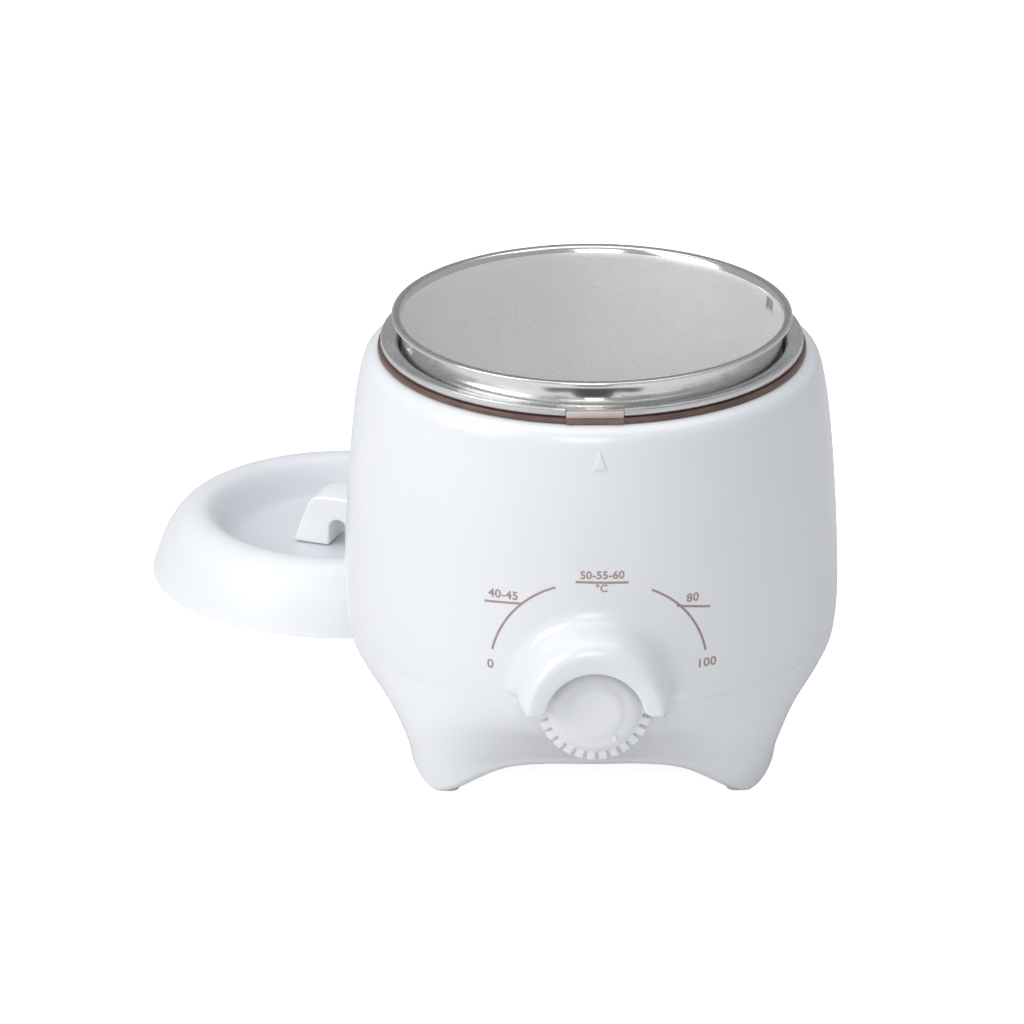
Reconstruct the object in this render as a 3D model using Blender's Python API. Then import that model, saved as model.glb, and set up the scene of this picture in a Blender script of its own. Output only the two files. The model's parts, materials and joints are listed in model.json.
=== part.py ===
"""Electric wax warmer pot with its lift-out pot, thermostat knob, lid and coiled cord.

Frame: origin on the flat underside of the base, on the pot's axis. +Z is up, the front with the knob
faces -Y, and the four legs reach below the underside to the table. Lengths are in metres.
"""
import math

import bmesh
import bpy
from mathutils import Matrix, Vector

MM = 0.001
GAP = 0.3 * MM

# Overall heights
LEG_DROP = 12.0 * MM
PAD_SHOW = 0.6 * MM
PARTING_Z = 27.8 * MM
TABLE_Z = -LEG_DROP

# Plastic shells. Outlines are (radius, height) in mm; skins are (height, radius) in mm.
WALL = 2.6 * MM
FLOOR = 2.4 * MM
PARTING_R = 75.8 * MM
HOUSING_OUTER = [(66.5, 116.5), (69.4, 115.4), (70.9, 112.4), (73.2, 100.0), (74.9, 82.0), (76.2, 60.0),
                 (76.7, 41.0), (76.4, 33.0), (75.8, 28.1)]
HOUSING_INNER = [(73.4, 28.1), (73.4, 31.4), (72.4, 31.6), (73.1, 45.0), (71.8, 82.0), (68.6, 109.0),
                 (62.9, 113.2), (62.9, 116.5)]
SIDE_SKIN = [(27.8, 75.8), (24.5, 75.1), (21.5, 73.8), (17.3, 71.0), (9.6, 62.4), (1.2, 54.5)]
LEG_SKIN = [(27.8, 75.8), (12.6, 75.3), (0.3, 72.3), (-8.3, 69.8), (-12.0, 68.2)]
LEG_SHARPNESS = 3.4
ARCH_START = math.radians(20.0)
ARCH_END = math.radians(46.0)
ARCH_EASE = 1.25
FOOT_WIDTH = 12.8 * MM
LEG_SLOPE = 6.0 * MM
FOOT_ROUND = 2.2 * MM
FLOOR_FLAT_R = 36.0 * MM
INNER_FLAT_R = 34.0 * MM
FOOT_WALL = 4.6 * MM
TONGUE_HEIGHT = 3.0 * MM
TONGUE_R = (71.9 * MM, 73.1 * MM)
PAD_R = 3.0 * MM
PAD_SINK = 0.8 * MM
PAD_INSET = 0.6 * MM

# Lift-out pot. The mouth's outline is (radius, height) in mm, up the outside and down the inside.
POT_WALL = 1.2 * MM
POT_R = 58.6 * MM
POT_BOTTOM_Z = 48.7 * MM
POT_CORNER = 7.0 * MM
POT_MOUTH = [(58.6, 119.0), (58.9, 122.4), (59.8, 125.0), (61.2, 126.6), (61.8, 127.3), (61.6, 128.2),
             (61.1, 128.4), (59.2, 128.4), (58.7, 128.0), (57.9, 125.6), (57.4, 122.0)]
SLOT_WIDTH = 6.0 * MM
SLOT_HEIGHT = 4.2 * MM
SLOT_Z = 124.0 * MM
SLOT_AZIMUTH = math.radians(17.5)

# Heating well and the collar under its flange
WELL_R = 59.6 * MM
WELL_WALL = 1.0 * MM
WELL_FLANGE_R = 65.2 * MM
WELL_FLANGE_Z = 120.6 * MM
WELL_FLANGE_THICK = 2.0 * MM
WELL_BOTTOM_Z = 47.2 * MM
WELL_CORNER = 6.0 * MM
STUD_R = 2.5 * MM
STUD_END_Z = 30.0 * MM
NOTCH_WIDTH = 18.0 * MM
NOTCH_INNER_R = 63.4 * MM
COLLAR_R = 66.1 * MM
COLLAR_BAND = (116.8 * MM, 118.3 * MM)
COLLAR_SKIRT_Z = 108.0 * MM
COLLAR_SKIRT_R = 62.6 * MM

# Knob, hood and thermostat, all on a horizontal axis along -Y
KNOB_Z = 29.5 * MM
WHEEL_R = 17.5 * MM
TOOTH_DEPTH = 2.5 * MM
TEETH = 28
NOTCH_SHARE = 0.32
WHEEL_FRONT = 78.8 * MM
WHEEL_BACK = 76.2 * MM
POCKET_R = 18.2 * MM
POCKET_DEPTH = 75.7 * MM
DOME = [(14.7, 78.8), (14.2, 79.1), (13.5, 80.5), (12.0, 81.7), (10.2, 82.2), (9.1, 82.5), (8.2, 83.2)]
DOME_FRONT = 83.2 * MM
INDEX_CLOCK = math.radians(145.0)
INDEX_R = 10.8 * MM
INDEX_DOT_R = 1.0 * MM
HOOD_FRONT = 90.0 * MM
HOOD_INNER_R = 15.2 * MM
HOOD_FACE_R = 20.6 * MM
HOOD_SIDE_R = 26.3 * MM
HOOD_TOP_R = 28.9 * MM
HOOD_HOLLOW_R = 19.2 * MM
HOOD_LIP = 2.8 * MM
HOOD_TIP_RISE = math.radians(3.0)
HOOD_ROOT = 70.5 * MM
HOOD_FALL = [(0.42, 1.2), (0.66, 3.6), (0.82, 8.0), (1.0, 14.4)]
KNOB_CAVITY_R = 11.5 * MM
KNOB_CAVITY_DEPTH = 3.4 * MM
SHAFT_R = 2.5 * MM
SHAFT_BACK = 55.4 * MM
NECK_R = 3.6 * MM
NECK_FRONT = 78.8 * MM
SHOULDER_R = 5.6 * MM
SHOULDER_FRONT = 71.6 * MM
THERMOSTAT_LOW = (-14.0 * MM, -60.0 * MM, 17.0 * MM)
THERMOSTAT_HIGH = (14.0 * MM, -41.0 * MM, 42.0 * MM)
THERMOSTAT_NUT = (5.8 * MM, 75.9 * MM, 78.2 * MM)

# Heater band and strap
BAND_R = 61.0 * MM
BAND_THICK = 1.6 * MM
BAND_Z = (54.0 * MM, 78.0 * MM)
BAND_SPLIT = math.radians(4.0)
EAR_Y = 69.0 * MM
EAR_THICK = 1.4 * MM
EAR_SCREW_Y = 66.2 * MM
STRAP_Z = 34.5 * MM
STRAP_THICK = 1.5 * MM
STRAP_HALF = 67.0 * MM
STRAP_WIDTH = 14.0 * MM
STRAP_HOLE_X = 63.0 * MM
STRAP_BLOCK_X = (58.0 * MM, 74.0 * MM)
STRAP_BLOCK_Y = 5.0 * MM
STRAP_BLOCK_HEIGHT = 7.7 * MM
WELL_NUT_R = 5.0 * MM
WELL_NUT_HEIGHT = 3.6 * MM

# Cut-out under the well: (radius, place along its axis) in mm
FUSE_OUTLINE = [(0.0, -9.0), (0.8, -9.0), (0.8, -5.5), (2.6, -5.0), (2.6, 5.0), (0.8, 5.5), (0.8, 9.0),
                (0.0, 9.0)]

# Base screws and the posts they run into
SCREW_CIRCLE = 54.0 * MM
SCREW_ANGLES = [math.radians(a) for a in (20.0, 160.0, 200.0, 340.0)]
SCREW_SEAT_Z = 3.4 * MM
POST_Z = (6.3 * MM, 42.0 * MM)
POST_R = 4.0 * MM
POST_BORE = (1.8 * MM, 14.0 * MM)
BOSS_R = 6.4 * MM
BOSS_Z = (1.0 * MM, 6.0 * MM)

# Lid, lying on the table behind and to the left of the body
LID_X = -77.9 * MM
LID_Y = 140.0 * MM
LID_FLOOR_Z = 8.8 * MM
LID_FLOOR_THICK = 2.0 * MM
LID_OUTER = [(63.2, 0.0), (61.7, 4.5), (60.1, 9.0), (58.0, 13.5), (54.9, 17.8), (51.4, 20.3), (47.3, 21.2),
             (43.9, 20.2), (41.2, 17.0), (39.0, 13.0), (36.6, 9.9), (33.0, 8.8)]
LID_INNER = [(31.5, 6.8), (36.6, 7.4), (40.8, 11.4), (43.0, 15.6), (44.9, 18.3), (47.3, 19.4), (50.8, 18.6),
             (53.6, 16.6), (56.4, 12.8), (58.6, 8.6), (60.4, 4.2), (62.1, 0.0)]
HANDLE_TURN = math.radians(-22.0)
HANDLE_BASE = 31.0 * MM
HANDLE_TOP = 16.0 * MM
HANDLE_DEPTH = 14.0 * MM
HANDLE_RISE = 18.0 * MM
HANDLE_SPAN = 10.4 * MM
HANDLE_ARCH = 11.2 * MM
HANDLE_SCREW_X = 10.4 * MM

# Cord, coiled behind the body to the right, with its plug past the coil
CORD_R = 2.7 * MM
CORD_EXIT = math.radians(70.0)
CORD_EXIT_Z = 38.0 * MM
CORD_EXIT_WALL = (72.6 * MM, 76.6 * MM)
BOOT_NECK_R = 4.0 * MM
CORD_REST_Z = TABLE_Z + CORD_R + 0.1 * MM
COIL_X = 34.0 * MM
COIL_Y = (118.0 * MM, 190.0 * MM)
COIL_INNER_R = 11.0 * MM
COIL_PITCH = 6.0 * MM
COIL_TURNS = 4
PLUG_Y = (262.0 * MM, 296.0 * MM)
PLUG_THICK = 13.6 * MM
WIRE_R = 0.9 * MM

TURN = 48
BASE_TURN = 64


def clear_scene():
    for obj in list(bpy.data.objects):
        bpy.data.objects.remove(obj, do_unlink=True)


def material(name, colour, roughness, metallic=0.0):
    mat = bpy.data.materials.new(name)
    mat.use_nodes = True
    shader = mat.node_tree.nodes["Principled BSDF"]
    shader.inputs["Base Color"].default_value = (*colour, 1.0)
    shader.inputs["Roughness"].default_value = roughness
    shader.inputs["Metallic"].default_value = metallic
    return mat


def add_object(name, bm, mat, matrix=None):
    """Turns a bmesh into an object with outward faces and smooth round sides."""
    bmesh.ops.remove_doubles(bm, verts=bm.verts, dist=1e-6)
    bmesh.ops.recalc_face_normals(bm, faces=bm.faces)
    mesh = bpy.data.meshes.new(name)
    bm.to_mesh(mesh)
    bm.free()
    mesh.shade_smooth()
    mesh.set_sharp_from_angle(angle=math.radians(35.0))
    mesh.materials.append(mat)
    obj = bpy.data.objects.new(name, mesh)
    bpy.context.scene.collection.objects.link(obj)
    if matrix is not None:
        obj.matrix_world = matrix
    return obj


def boolean(obj, tool, operation="DIFFERENCE"):
    """Applies one exact Boolean to obj and removes the tool."""
    modifier = obj.modifiers.new("cut", "BOOLEAN")
    modifier.solver = "EXACT"
    modifier.operation = operation
    modifier.object = tool
    tool.hide_render = True
    tool.display_type = "WIRE"
    bpy.context.view_layer.update()
    graph = bpy.context.evaluated_depsgraph_get()
    mesh = bpy.data.meshes.new_from_object(obj.evaluated_get(graph))
    mesh.shade_smooth()
    mesh.set_sharp_from_angle(angle=math.radians(35.0))
    obj.modifiers.remove(modifier)
    obj.data = mesh
    obj.data.name = obj.name
    bpy.data.objects.remove(tool, do_unlink=True)


def lathe_mesh(outline, steps=TURN):
    """Spins a closed outline of (radius, height) round Z. Points at radius 0 close the middle."""
    bm = bmesh.new()
    rings = []
    for radius, height in outline:
        if radius < 1e-7:
            rings.append([bm.verts.new((0.0, 0.0, height))])
            continue
        ring = []
        for step in range(steps):
            angle = 2.0 * math.pi * step / steps
            ring.append(bm.verts.new((radius * math.cos(angle), radius * math.sin(angle), height)))
        rings.append(ring)
    for index, ring in enumerate(rings):
        other = rings[(index + 1) % len(rings)]
        bridge(bm, ring, other, steps)
    return bm


def bridge(bm, ring, other, steps):
    if len(ring) == 1 and len(other) == 1:
        return
    for step in range(steps):
        after = (step + 1) % steps
        if len(ring) == 1:
            bm.faces.new((ring[0], other[step], other[after]))
        elif len(other) == 1:
            bm.faces.new((ring[step], ring[after], other[0]))
        else:
            bm.faces.new((ring[step], ring[after], other[after], other[step]))


def box_mesh(low, high):
    bm = bmesh.new()
    bmesh.ops.create_cube(bm, size=1.0)
    size = Vector(high) - Vector(low)
    middle = (Vector(high) + Vector(low)) / 2.0
    bmesh.ops.scale(bm, vec=size, verts=bm.verts)
    bmesh.ops.translate(bm, vec=middle, verts=bm.verts)
    return bm


def cylinder_mesh(radius, z_low, z_high, steps=24):
    return lathe_mesh([(0.0, z_low), (radius, z_low), (radius, z_high), (0.0, z_high)], steps)


def prism_mesh(points, z_low, z_high):
    """Extrudes a plane outline of (x, y) between two heights."""
    bm = bmesh.new()
    face = bm.faces.new([bm.verts.new((x, y, z_low)) for x, y in points])
    grown = bmesh.ops.extrude_face_region(bm, geom=[face])
    top = [item for item in grown["geom"] if isinstance(item, bmesh.types.BMVert)]
    bmesh.ops.translate(bm, vec=(0.0, 0.0, z_high - z_low), verts=top)
    return bm


def scaled(outline):
    return [(a * MM, b * MM) for a, b in outline]


def arc(centre, radius, start, end, count):
    """Points on a circle in the (radius, height) plane, angles in degrees."""
    points = []
    for index in range(count + 1):
        angle = math.radians(start + (end - start) * index / count)
        points.append((centre[0] + radius * math.cos(angle), centre[1] + radius * math.sin(angle)))
    return points


def curve_value(table, x):
    """Smooth value at x through (x, value) pairs whose x falls, by cubic pieces."""
    last = len(table) - 1
    x = min(max(x, table[last][0]), table[0][0])
    slot = 0
    while slot < last - 1 and x < table[slot + 1][0]:
        slot += 1
    slopes = []
    for index in (slot, slot + 1):
        low = max(index - 1, 0)
        high = min(index + 1, last)
        slopes.append((table[high][1] - table[low][1]) / (table[high][0] - table[low][0]))
    span = table[slot + 1][0] - table[slot][0]
    t = (x - table[slot][0]) / span
    keep = 2 * t ** 3 - 3 * t ** 2 + 1
    return (keep * table[slot][1] + (1 - keep) * table[slot + 1][1]
            + (t ** 3 - 2 * t ** 2 + t) * span * slopes[0] + (t ** 3 - t ** 2) * span * slopes[1])


def tube(name, points, radius, mat, resolution=1):
    """A round cord or wire through the given points, with closed ends."""
    data = bpy.data.curves.new(name, "CURVE")
    data.dimensions = "3D"
    data.bevel_depth = radius
    data.bevel_resolution = resolution
    data.use_fill_caps = True
    spline = data.splines.new("POLY")
    spline.points.add(len(points) - 1)
    for point, place in zip(spline.points, points):
        point.co = (*place, 1.0)
    data.materials.append(mat)
    obj = bpy.data.objects.new(name, data)
    bpy.context.scene.collection.objects.link(obj)
    return obj


def hexagon(size):
    return [(size * math.cos(math.radians(60 * k)), size * math.sin(math.radians(60 * k))) for k in range(6)]


def smooth_path(corners, steps=4):
    """Catmull-Rom points through the corners."""
    points = [Vector(c) for c in corners]
    ends = [2 * points[0] - points[1]] + points + [2 * points[-1] - points[-2]]
    path = []
    for index in range(1, len(ends) - 2):
        a, b, c, d = ends[index - 1:index + 3]
        for step in range(steps):
            t = step / steps
            path.append(0.5 * ((2 * b) + (c - a) * t + (2 * a - 5 * b + 4 * c - d) * t ** 2
                               + (3 * b - a - 3 * c + d) * t ** 3))
    path.append(points[-1])
    return path


def knob_axis():
    """Matrix that turns a part lathed on +Z so that its +Z points to the front along the knob's axis."""
    return Matrix.Translation((0.0, 0.0, KNOB_Z)) @ Matrix.Rotation(math.radians(90.0), 4, "X")


# ---------------------------------------------------------------- housing

def hood_section(angle):
    """Closed (radius, depth) section of the hood at one angle round the knob's axis."""
    outer = HOOD_SIDE_R + (HOOD_TOP_R - HOOD_SIDE_R) * math.sin(angle) ** 2
    edge = 0.8 * MM
    section = [(HOOD_INNER_R, HOOD_FRONT - edge), (HOOD_INNER_R + edge, HOOD_FRONT), (HOOD_FACE_R, HOOD_FRONT)]
    for part, fall in HOOD_FALL:
        section.append((HOOD_FACE_R + (outer - HOOD_FACE_R) * part, HOOD_FRONT - fall * MM))
    section.append((outer, HOOD_ROOT))
    section.append((HOOD_HOLLOW_R, HOOD_ROOT))
    section.append((HOOD_HOLLOW_R, HOOD_FRONT - HOOD_LIP))
    section.append((HOOD_INNER_R, HOOD_FRONT - HOOD_LIP))
    return section


def hood_mesh():
    """Half ring over the knob: a C section swept over the top of the knob's axis."""
    steps = 18
    bm = bmesh.new()
    rings = []
    for step in range(steps + 1):
        angle = HOOD_TIP_RISE + (math.pi - 2 * HOOD_TIP_RISE) * step / steps
        ring = []
        for radius, depth in hood_section(angle):
            ring.append(bm.verts.new((radius * math.cos(angle), -depth, KNOB_Z + radius * math.sin(angle))))
        rings.append(ring)
    for ring, other in zip(rings, rings[1:]):
        for index in range(len(ring)):
            after = (index + 1) % len(ring)
            bm.faces.new((ring[index], ring[after], other[after], other[index]))
    bm.faces.new(rings[0])
    bm.faces.new(list(reversed(rings[-1])))
    return bm


def build_upper_housing(mat):
    outline = scaled(HOUSING_OUTER) + scaled(HOUSING_INNER)
    housing = add_object("upper_housing", lathe_mesh(outline, TURN), mat)
    pocket = cylinder_mesh(POCKET_R, POCKET_DEPTH, 90.0 * MM, 48)
    boolean(housing, add_object("knob_pocket", pocket, mat, knob_axis()))
    boolean(housing, add_object("hood", hood_mesh(), mat), "UNION")
    bore = cylinder_mesh(NECK_R + GAP, 60.0 * MM, 80.0 * MM, 16)
    boolean(housing, add_object("neck_bore", bore, mat, knob_axis()))
    exit_hole = cylinder_mesh(BOOT_NECK_R + GAP, 60.0 * MM, 90.0 * MM, 20)
    boolean(housing, add_object("cord_hole", exit_hole, mat, cord_axis()))
    for angle in SCREW_ANGLES:
        boolean(housing, housing_post(angle, mat), "UNION")
    seat = STRAP_Z + STRAP_THICK + GAP
    for side in (-1, 1):
        ends = sorted(side * x for x in STRAP_BLOCK_X)
        block = box_mesh((ends[0], -STRAP_BLOCK_Y, seat), (ends[1], STRAP_BLOCK_Y, seat + STRAP_BLOCK_HEIGHT))
        boolean(housing, add_object("block", block, mat), "UNION")
        hole = cylinder_mesh(POST_BORE[0], STRAP_Z, STRAP_Z + 8.6 * MM, 12)
        place = Matrix.Translation((side * STRAP_HOLE_X, 0.0, 0.0))
        boolean(housing, add_object("block_hole", hole, mat, place))
    return housing


def housing_post(angle, mat):
    """Screw post under the wall, with a web that ties it to the wall."""
    foot, top = POST_Z
    bore, depth = POST_BORE
    outline = [(bore, foot), (POST_R, foot), (POST_R, top), (0.0, top)]
    outline += [(0.0, foot + depth), (bore, foot + depth)]
    place = Matrix.Rotation(angle, 4, "Z") @ Matrix.Translation((SCREW_CIRCLE, 0.0, 0.0))
    post = add_object("post", lathe_mesh(outline, 16), mat, place)
    web = box_mesh((3.0 * MM, -1.2 * MM, 32.0 * MM), (19.6 * MM, 1.2 * MM, top - 0.5 * MM))
    boolean(post, add_object("web", web, mat, place), "UNION")
    return post


# ---------------------------------------------------------------- base

def leg_amount(angle):
    """How far the wall swells at this azimuth: 1 over a leg, 0 half way between legs."""
    return abs(math.sin(2.0 * angle)) ** LEG_SHARPNESS


def leg_reach(angle):
    """How far the lower edge has dropped at this azimuth, from 0 under an arch to 1 at a foot."""
    from_axis = math.asin(min(1.0, abs(math.sin(2.0 * angle)))) / 2.0
    t = min(max((from_axis - ARCH_START) / (ARCH_END - ARCH_START), 0.0), 1.0)
    return math.sin(0.5 * math.pi * t ** ARCH_EASE) ** 2


def skin_radius(angle, height):
    side = curve_value(SIDE_SKIN, height / MM)
    leg = curve_value(LEG_SKIN, height / MM)
    return (side + (leg - side) * leg_amount(angle)) * MM


def base_outline(angle):
    """Closed outline of the wall, leg and floor at one azimuth, from the tongue down to the middle and back."""
    drop = -(LEG_DROP - PAD_SHOW) * leg_reach(angle)
    points = [(TONGUE_R[0], PARTING_Z + TONGUE_HEIGHT), (TONGUE_R[1], PARTING_Z + TONGUE_HEIGHT),
              (TONGUE_R[1], PARTING_Z), (PARTING_R, PARTING_Z)]
    rows = 5
    for row in range(1, rows + 1):
        height = PARTING_Z + (drop + FOOT_ROUND - PARTING_Z) * row / rows
        points.append((skin_radius(angle, height), height))
    edge = points[-1][0]
    points.append((edge - FOOT_ROUND * 0.4, drop + FOOT_ROUND * 0.35))
    points.append((edge - FOOT_ROUND * 1.3, drop))
    points.append((edge - FOOT_WIDTH, drop))
    points.append((edge - FOOT_WIDTH - LEG_SLOPE, 0.0))
    points.append((FLOOR_FLAT_R, 0.0))
    points.append((0.0, 0.0))
    points.append((0.0, FLOOR))
    points.append((INNER_FLAT_R, FLOOR))
    inner_drop = FLOOR + drop
    points.append((edge - FOOT_WIDTH - LEG_SLOPE - 1.2 * MM, FLOOR))
    points.append((edge - FOOT_WIDTH + 1.0 * MM, inner_drop))
    points.append((edge - FOOT_WALL, inner_drop))
    inner_rows = 3
    for row in range(inner_rows - 1, -1, -1):
        height = PARTING_Z + (inner_drop + 3.0 * MM - PARTING_Z) * (row + 1) / (inner_rows + 1)
        points.append((skin_radius(angle, height) - WALL, height))
    points.append((TONGUE_R[0], PARTING_Z))
    return points


def build_base_shell(mat):
    steps = BASE_TURN
    outlines = [base_outline(2.0 * math.pi * step / steps) for step in range(steps)]
    bm = bmesh.new()
    columns = len(outlines[0])
    rings = []
    for column in range(columns):
        if outlines[0][column][0] < 1e-7:
            rings.append([bm.verts.new((0.0, 0.0, outlines[0][column][1]))])
            continue
        ring = []
        for step in range(steps):
            angle = 2.0 * math.pi * step / steps
            radius, height = outlines[step][column]
            ring.append(bm.verts.new((radius * math.cos(angle), radius * math.sin(angle), height)))
        rings.append(ring)
    for column in range(columns):
        bridge(bm, rings[column], rings[(column + 1) % columns], steps)
    base = add_object("base_shell", bm, mat)
    for angle in SCREW_ANGLES:
        place = Matrix.Rotation(angle, 4, "Z") @ Matrix.Translation((SCREW_CIRCLE, 0.0, 0.0))
        boss = cylinder_mesh(BOSS_R, BOSS_Z[0], BOSS_Z[1], 20)
        boolean(base, add_object("boss", boss, mat, place), "UNION")
        bore = lathe_mesh([(0.0, -1.0 * MM), (4.2 * MM, -1.0 * MM), (4.2 * MM, SCREW_SEAT_Z),
                           (2.0 * MM, SCREW_SEAT_Z), (2.0 * MM, 7.0 * MM), (0.0, 7.0 * MM)], 16)
        boolean(base, add_object("bore", bore, mat, place))
    notch_low = (-SHOULDER_R - 0.6 * MM, -80.0 * MM, KNOB_Z - SHOULDER_R - 0.6 * MM)
    notch_high = (SHOULDER_R + 0.6 * MM, -66.0 * MM, 40.0 * MM)
    boolean(base, add_object("neck_notch", box_mesh(notch_low, notch_high), mat))
    half = HOOD_SIDE_R + 2.0 * MM
    tongue_cut = box_mesh((-half, -80.0 * MM, PARTING_Z + 0.02 * MM), (half, -60.0 * MM, 40.0 * MM))
    boolean(base, add_object("tongue_cut", tongue_cut, mat))
    for angle in pad_angles():
        recess = cylinder_mesh(PAD_R + GAP, TABLE_Z - 1.0 * MM, TABLE_Z + PAD_SHOW + PAD_SINK, 20)
        boolean(base, add_object("recess", recess, mat, pad_place(angle)))
    return base


def pad_angles():
    return [math.radians(45.0 + 90.0 * index) for index in range(4)]


def pad_place(angle):
    foot_edge = skin_radius(angle, -(LEG_DROP - PAD_SHOW) + FOOT_ROUND)
    middle = foot_edge - 0.5 * FOOT_WIDTH - PAD_INSET
    return Matrix.Rotation(angle, 4, "Z") @ Matrix.Translation((middle, 0.0, 0.0))


def build_foot_pads(mat):
    for index, angle in enumerate(pad_angles()):
        top = TABLE_Z + PAD_SHOW + PAD_SINK - GAP
        edge = 0.4 * MM
        outline = [(0.0, TABLE_Z), (PAD_R - edge, TABLE_Z), (PAD_R, TABLE_Z + edge), (PAD_R, top), (0.0, top)]
        add_object(f"foot_pad_{index + 1}", lathe_mesh(outline, 20), mat, pad_place(angle))


def screw_mesh(head_r, head_h, shank_r, length, steps=10):
    """Pan-head screw with its seat at z = 0, head below and shank above."""
    return lathe_mesh([(0.0, -head_h), (head_r * 0.7, -head_h), (head_r, -head_h * 0.5), (head_r, 0.0),
                       (shank_r, 0.0), (shank_r, length), (0.0, length + shank_r)], steps)


def build_base_screws(mat):
    for index, angle in enumerate(SCREW_ANGLES):
        place = Matrix.Rotation(angle, 4, "Z") @ Matrix.Translation((SCREW_CIRCLE, 0.0, SCREW_SEAT_Z - GAP))
        add_object(f"base_screw_{index + 1}", screw_mesh(3.6 * MM, 2.2 * MM, 1.5 * MM, 13.0 * MM), mat, place)


# ---------------------------------------------------------------- metal pot, well and collar

def build_inner_pot(mat):
    corner = (POT_R - POT_CORNER, POT_BOTTOM_Z + POT_CORNER)
    outline = [(0.0, POT_BOTTOM_Z)]
    outline += arc(corner, POT_CORNER, -90.0, 0.0, 3)
    outline += scaled(POT_MOUTH)
    outline += arc(corner, POT_CORNER - POT_WALL, 0.0, -90.0, 3)
    outline.append((0.0, POT_BOTTOM_Z + POT_WALL))
    pot = add_object("inner_pot", lathe_mesh(outline, TURN), mat)
    low = (-SLOT_WIDTH / 2, -70.0 * MM, SLOT_Z - SLOT_HEIGHT / 2)
    high = (SLOT_WIDTH / 2, 70.0 * MM, SLOT_Z + SLOT_HEIGHT / 2)
    turn = Matrix.Rotation(SLOT_AZIMUTH - math.radians(90.0), 4, "Z")
    boolean(pot, add_object("slots", box_mesh(low, high), mat, turn))
    return pot


def build_heater_well(mat):
    outer = WELL_R + WELL_WALL
    inside_bottom = WELL_BOTTOM_Z
    corner = (WELL_R - WELL_CORNER, inside_bottom + WELL_CORNER)
    under = WELL_FLANGE_Z - WELL_FLANGE_THICK
    outline = [(0.0, STUD_END_Z), (STUD_R, STUD_END_Z), (STUD_R, inside_bottom - WELL_WALL)]
    outline += arc(corner, WELL_CORNER + WELL_WALL, -90.0, 0.0, 2)
    outline += [(outer, under - 1.0 * MM), (outer + 0.6 * MM, under), (WELL_FLANGE_R - 0.6 * MM, under)]
    outline += [(WELL_FLANGE_R, under + 0.4 * MM), (WELL_FLANGE_R, WELL_FLANGE_Z + 0.1 * MM)]
    outline += [(WELL_FLANGE_R - 0.6 * MM, WELL_FLANGE_Z + 0.6 * MM), (WELL_FLANGE_R - 1.6 * MM, WELL_FLANGE_Z)]
    outline += [(WELL_R + 1.4 * MM, WELL_FLANGE_Z), (WELL_R + 0.4 * MM, WELL_FLANGE_Z - 0.5 * MM)]
    outline += [(WELL_R, WELL_FLANGE_Z - 2.4 * MM)]
    outline += arc(corner, WELL_CORNER, 0.0, -90.0, 2)
    outline.append((0.0, inside_bottom))
    well = add_object("heater_well", lathe_mesh(outline, TURN), mat)
    low = (-NOTCH_WIDTH / 2, -70.0 * MM, under - 2.0 * MM)
    high = (NOTCH_WIDTH / 2, -NOTCH_INNER_R, WELL_FLANGE_Z + 2.0 * MM)
    boolean(well, add_object("notch", box_mesh(low, high), mat))
    return well


def build_insulating_collar(mat):
    inner = WELL_R + WELL_WALL + 1.2 * MM
    low, top = COLLAR_BAND
    outline = [(inner, COLLAR_SKIRT_Z), (COLLAR_SKIRT_R, COLLAR_SKIRT_Z), (COLLAR_SKIRT_R, low),
               (COLLAR_R, low), (COLLAR_R, top), (inner, top)]
    return add_object("insulating_collar", lathe_mesh(outline, TURN), mat)


# ---------------------------------------------------------------- knob and thermostat

def build_knob(mat):
    """Toothed wheel with a domed front. Built on +Z, then turned to face the front."""
    bm = bmesh.new()
    back = WHEEL_BACK
    front = WHEEL_FRONT

    def ring_at(radius, depth):
        ring = []
        for tooth in range(TEETH):
            angle = 2.0 * math.pi * tooth / TEETH
            ring.append(bm.verts.new((radius * math.cos(angle), radius * math.sin(angle), depth)))
        return ring

    def toothed_ring(depth):
        ring = []
        for tooth in range(TEETH):
            root = WHEEL_R - TOOTH_DEPTH
            wall = 0.02
            corners = [(0.0, root), (NOTCH_SHARE, root), (NOTCH_SHARE + wall, WHEEL_R), (1.0 - wall, WHEEL_R)]
            for part, radius in corners:
                angle = 2.0 * math.pi * (tooth + part) / TEETH
                ring.append(bm.verts.new((radius * math.cos(angle), radius * math.sin(angle), depth)))
        return ring

    teeth_back = toothed_ring(back)
    teeth_front = toothed_ring(front)
    count = len(teeth_back)
    for index in range(count):
        after = (index + 1) % count
        bm.faces.new((teeth_back[index], teeth_back[after], teeth_front[after], teeth_front[index]))
    fronts = [ring_at(radius, depth) for radius, depth in scaled(DOME)]
    cavity = back + KNOB_CAVITY_DEPTH
    backs = [ring_at(KNOB_CAVITY_R, back), ring_at(KNOB_CAVITY_R, cavity),
             ring_at(SHAFT_R + GAP, cavity), ring_at(SHAFT_R + GAP, DOME_FRONT - 2.0 * MM)]
    for teeth, ring in ((teeth_front, fronts[0]), (teeth_back, backs[0])):
        for tooth in range(TEETH):
            corners = [teeth[(4 * tooth + k) % count] for k in range(5)]
            bm.faces.new(corners + [ring[(tooth + 1) % TEETH], ring[tooth]])
    for rings in (fronts, backs):
        for ring, other in zip(rings, rings[1:]):
            bridge(bm, ring, other, TEETH)
        bm.faces.new(rings[-1])
    knob = add_object("knob", bm, mat, knob_axis())
    dot = bmesh.new()
    bmesh.ops.create_icosphere(dot, subdivisions=2, radius=INDEX_DOT_R)
    depth = DOME_FRONT - 1.2 * MM
    place = (INDEX_R * math.sin(INDEX_CLOCK), -depth, KNOB_Z + INDEX_R * math.cos(INDEX_CLOCK))
    boolean(knob, add_object("dot", dot, mat, Matrix.Translation(place)), "UNION")
    return knob


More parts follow.
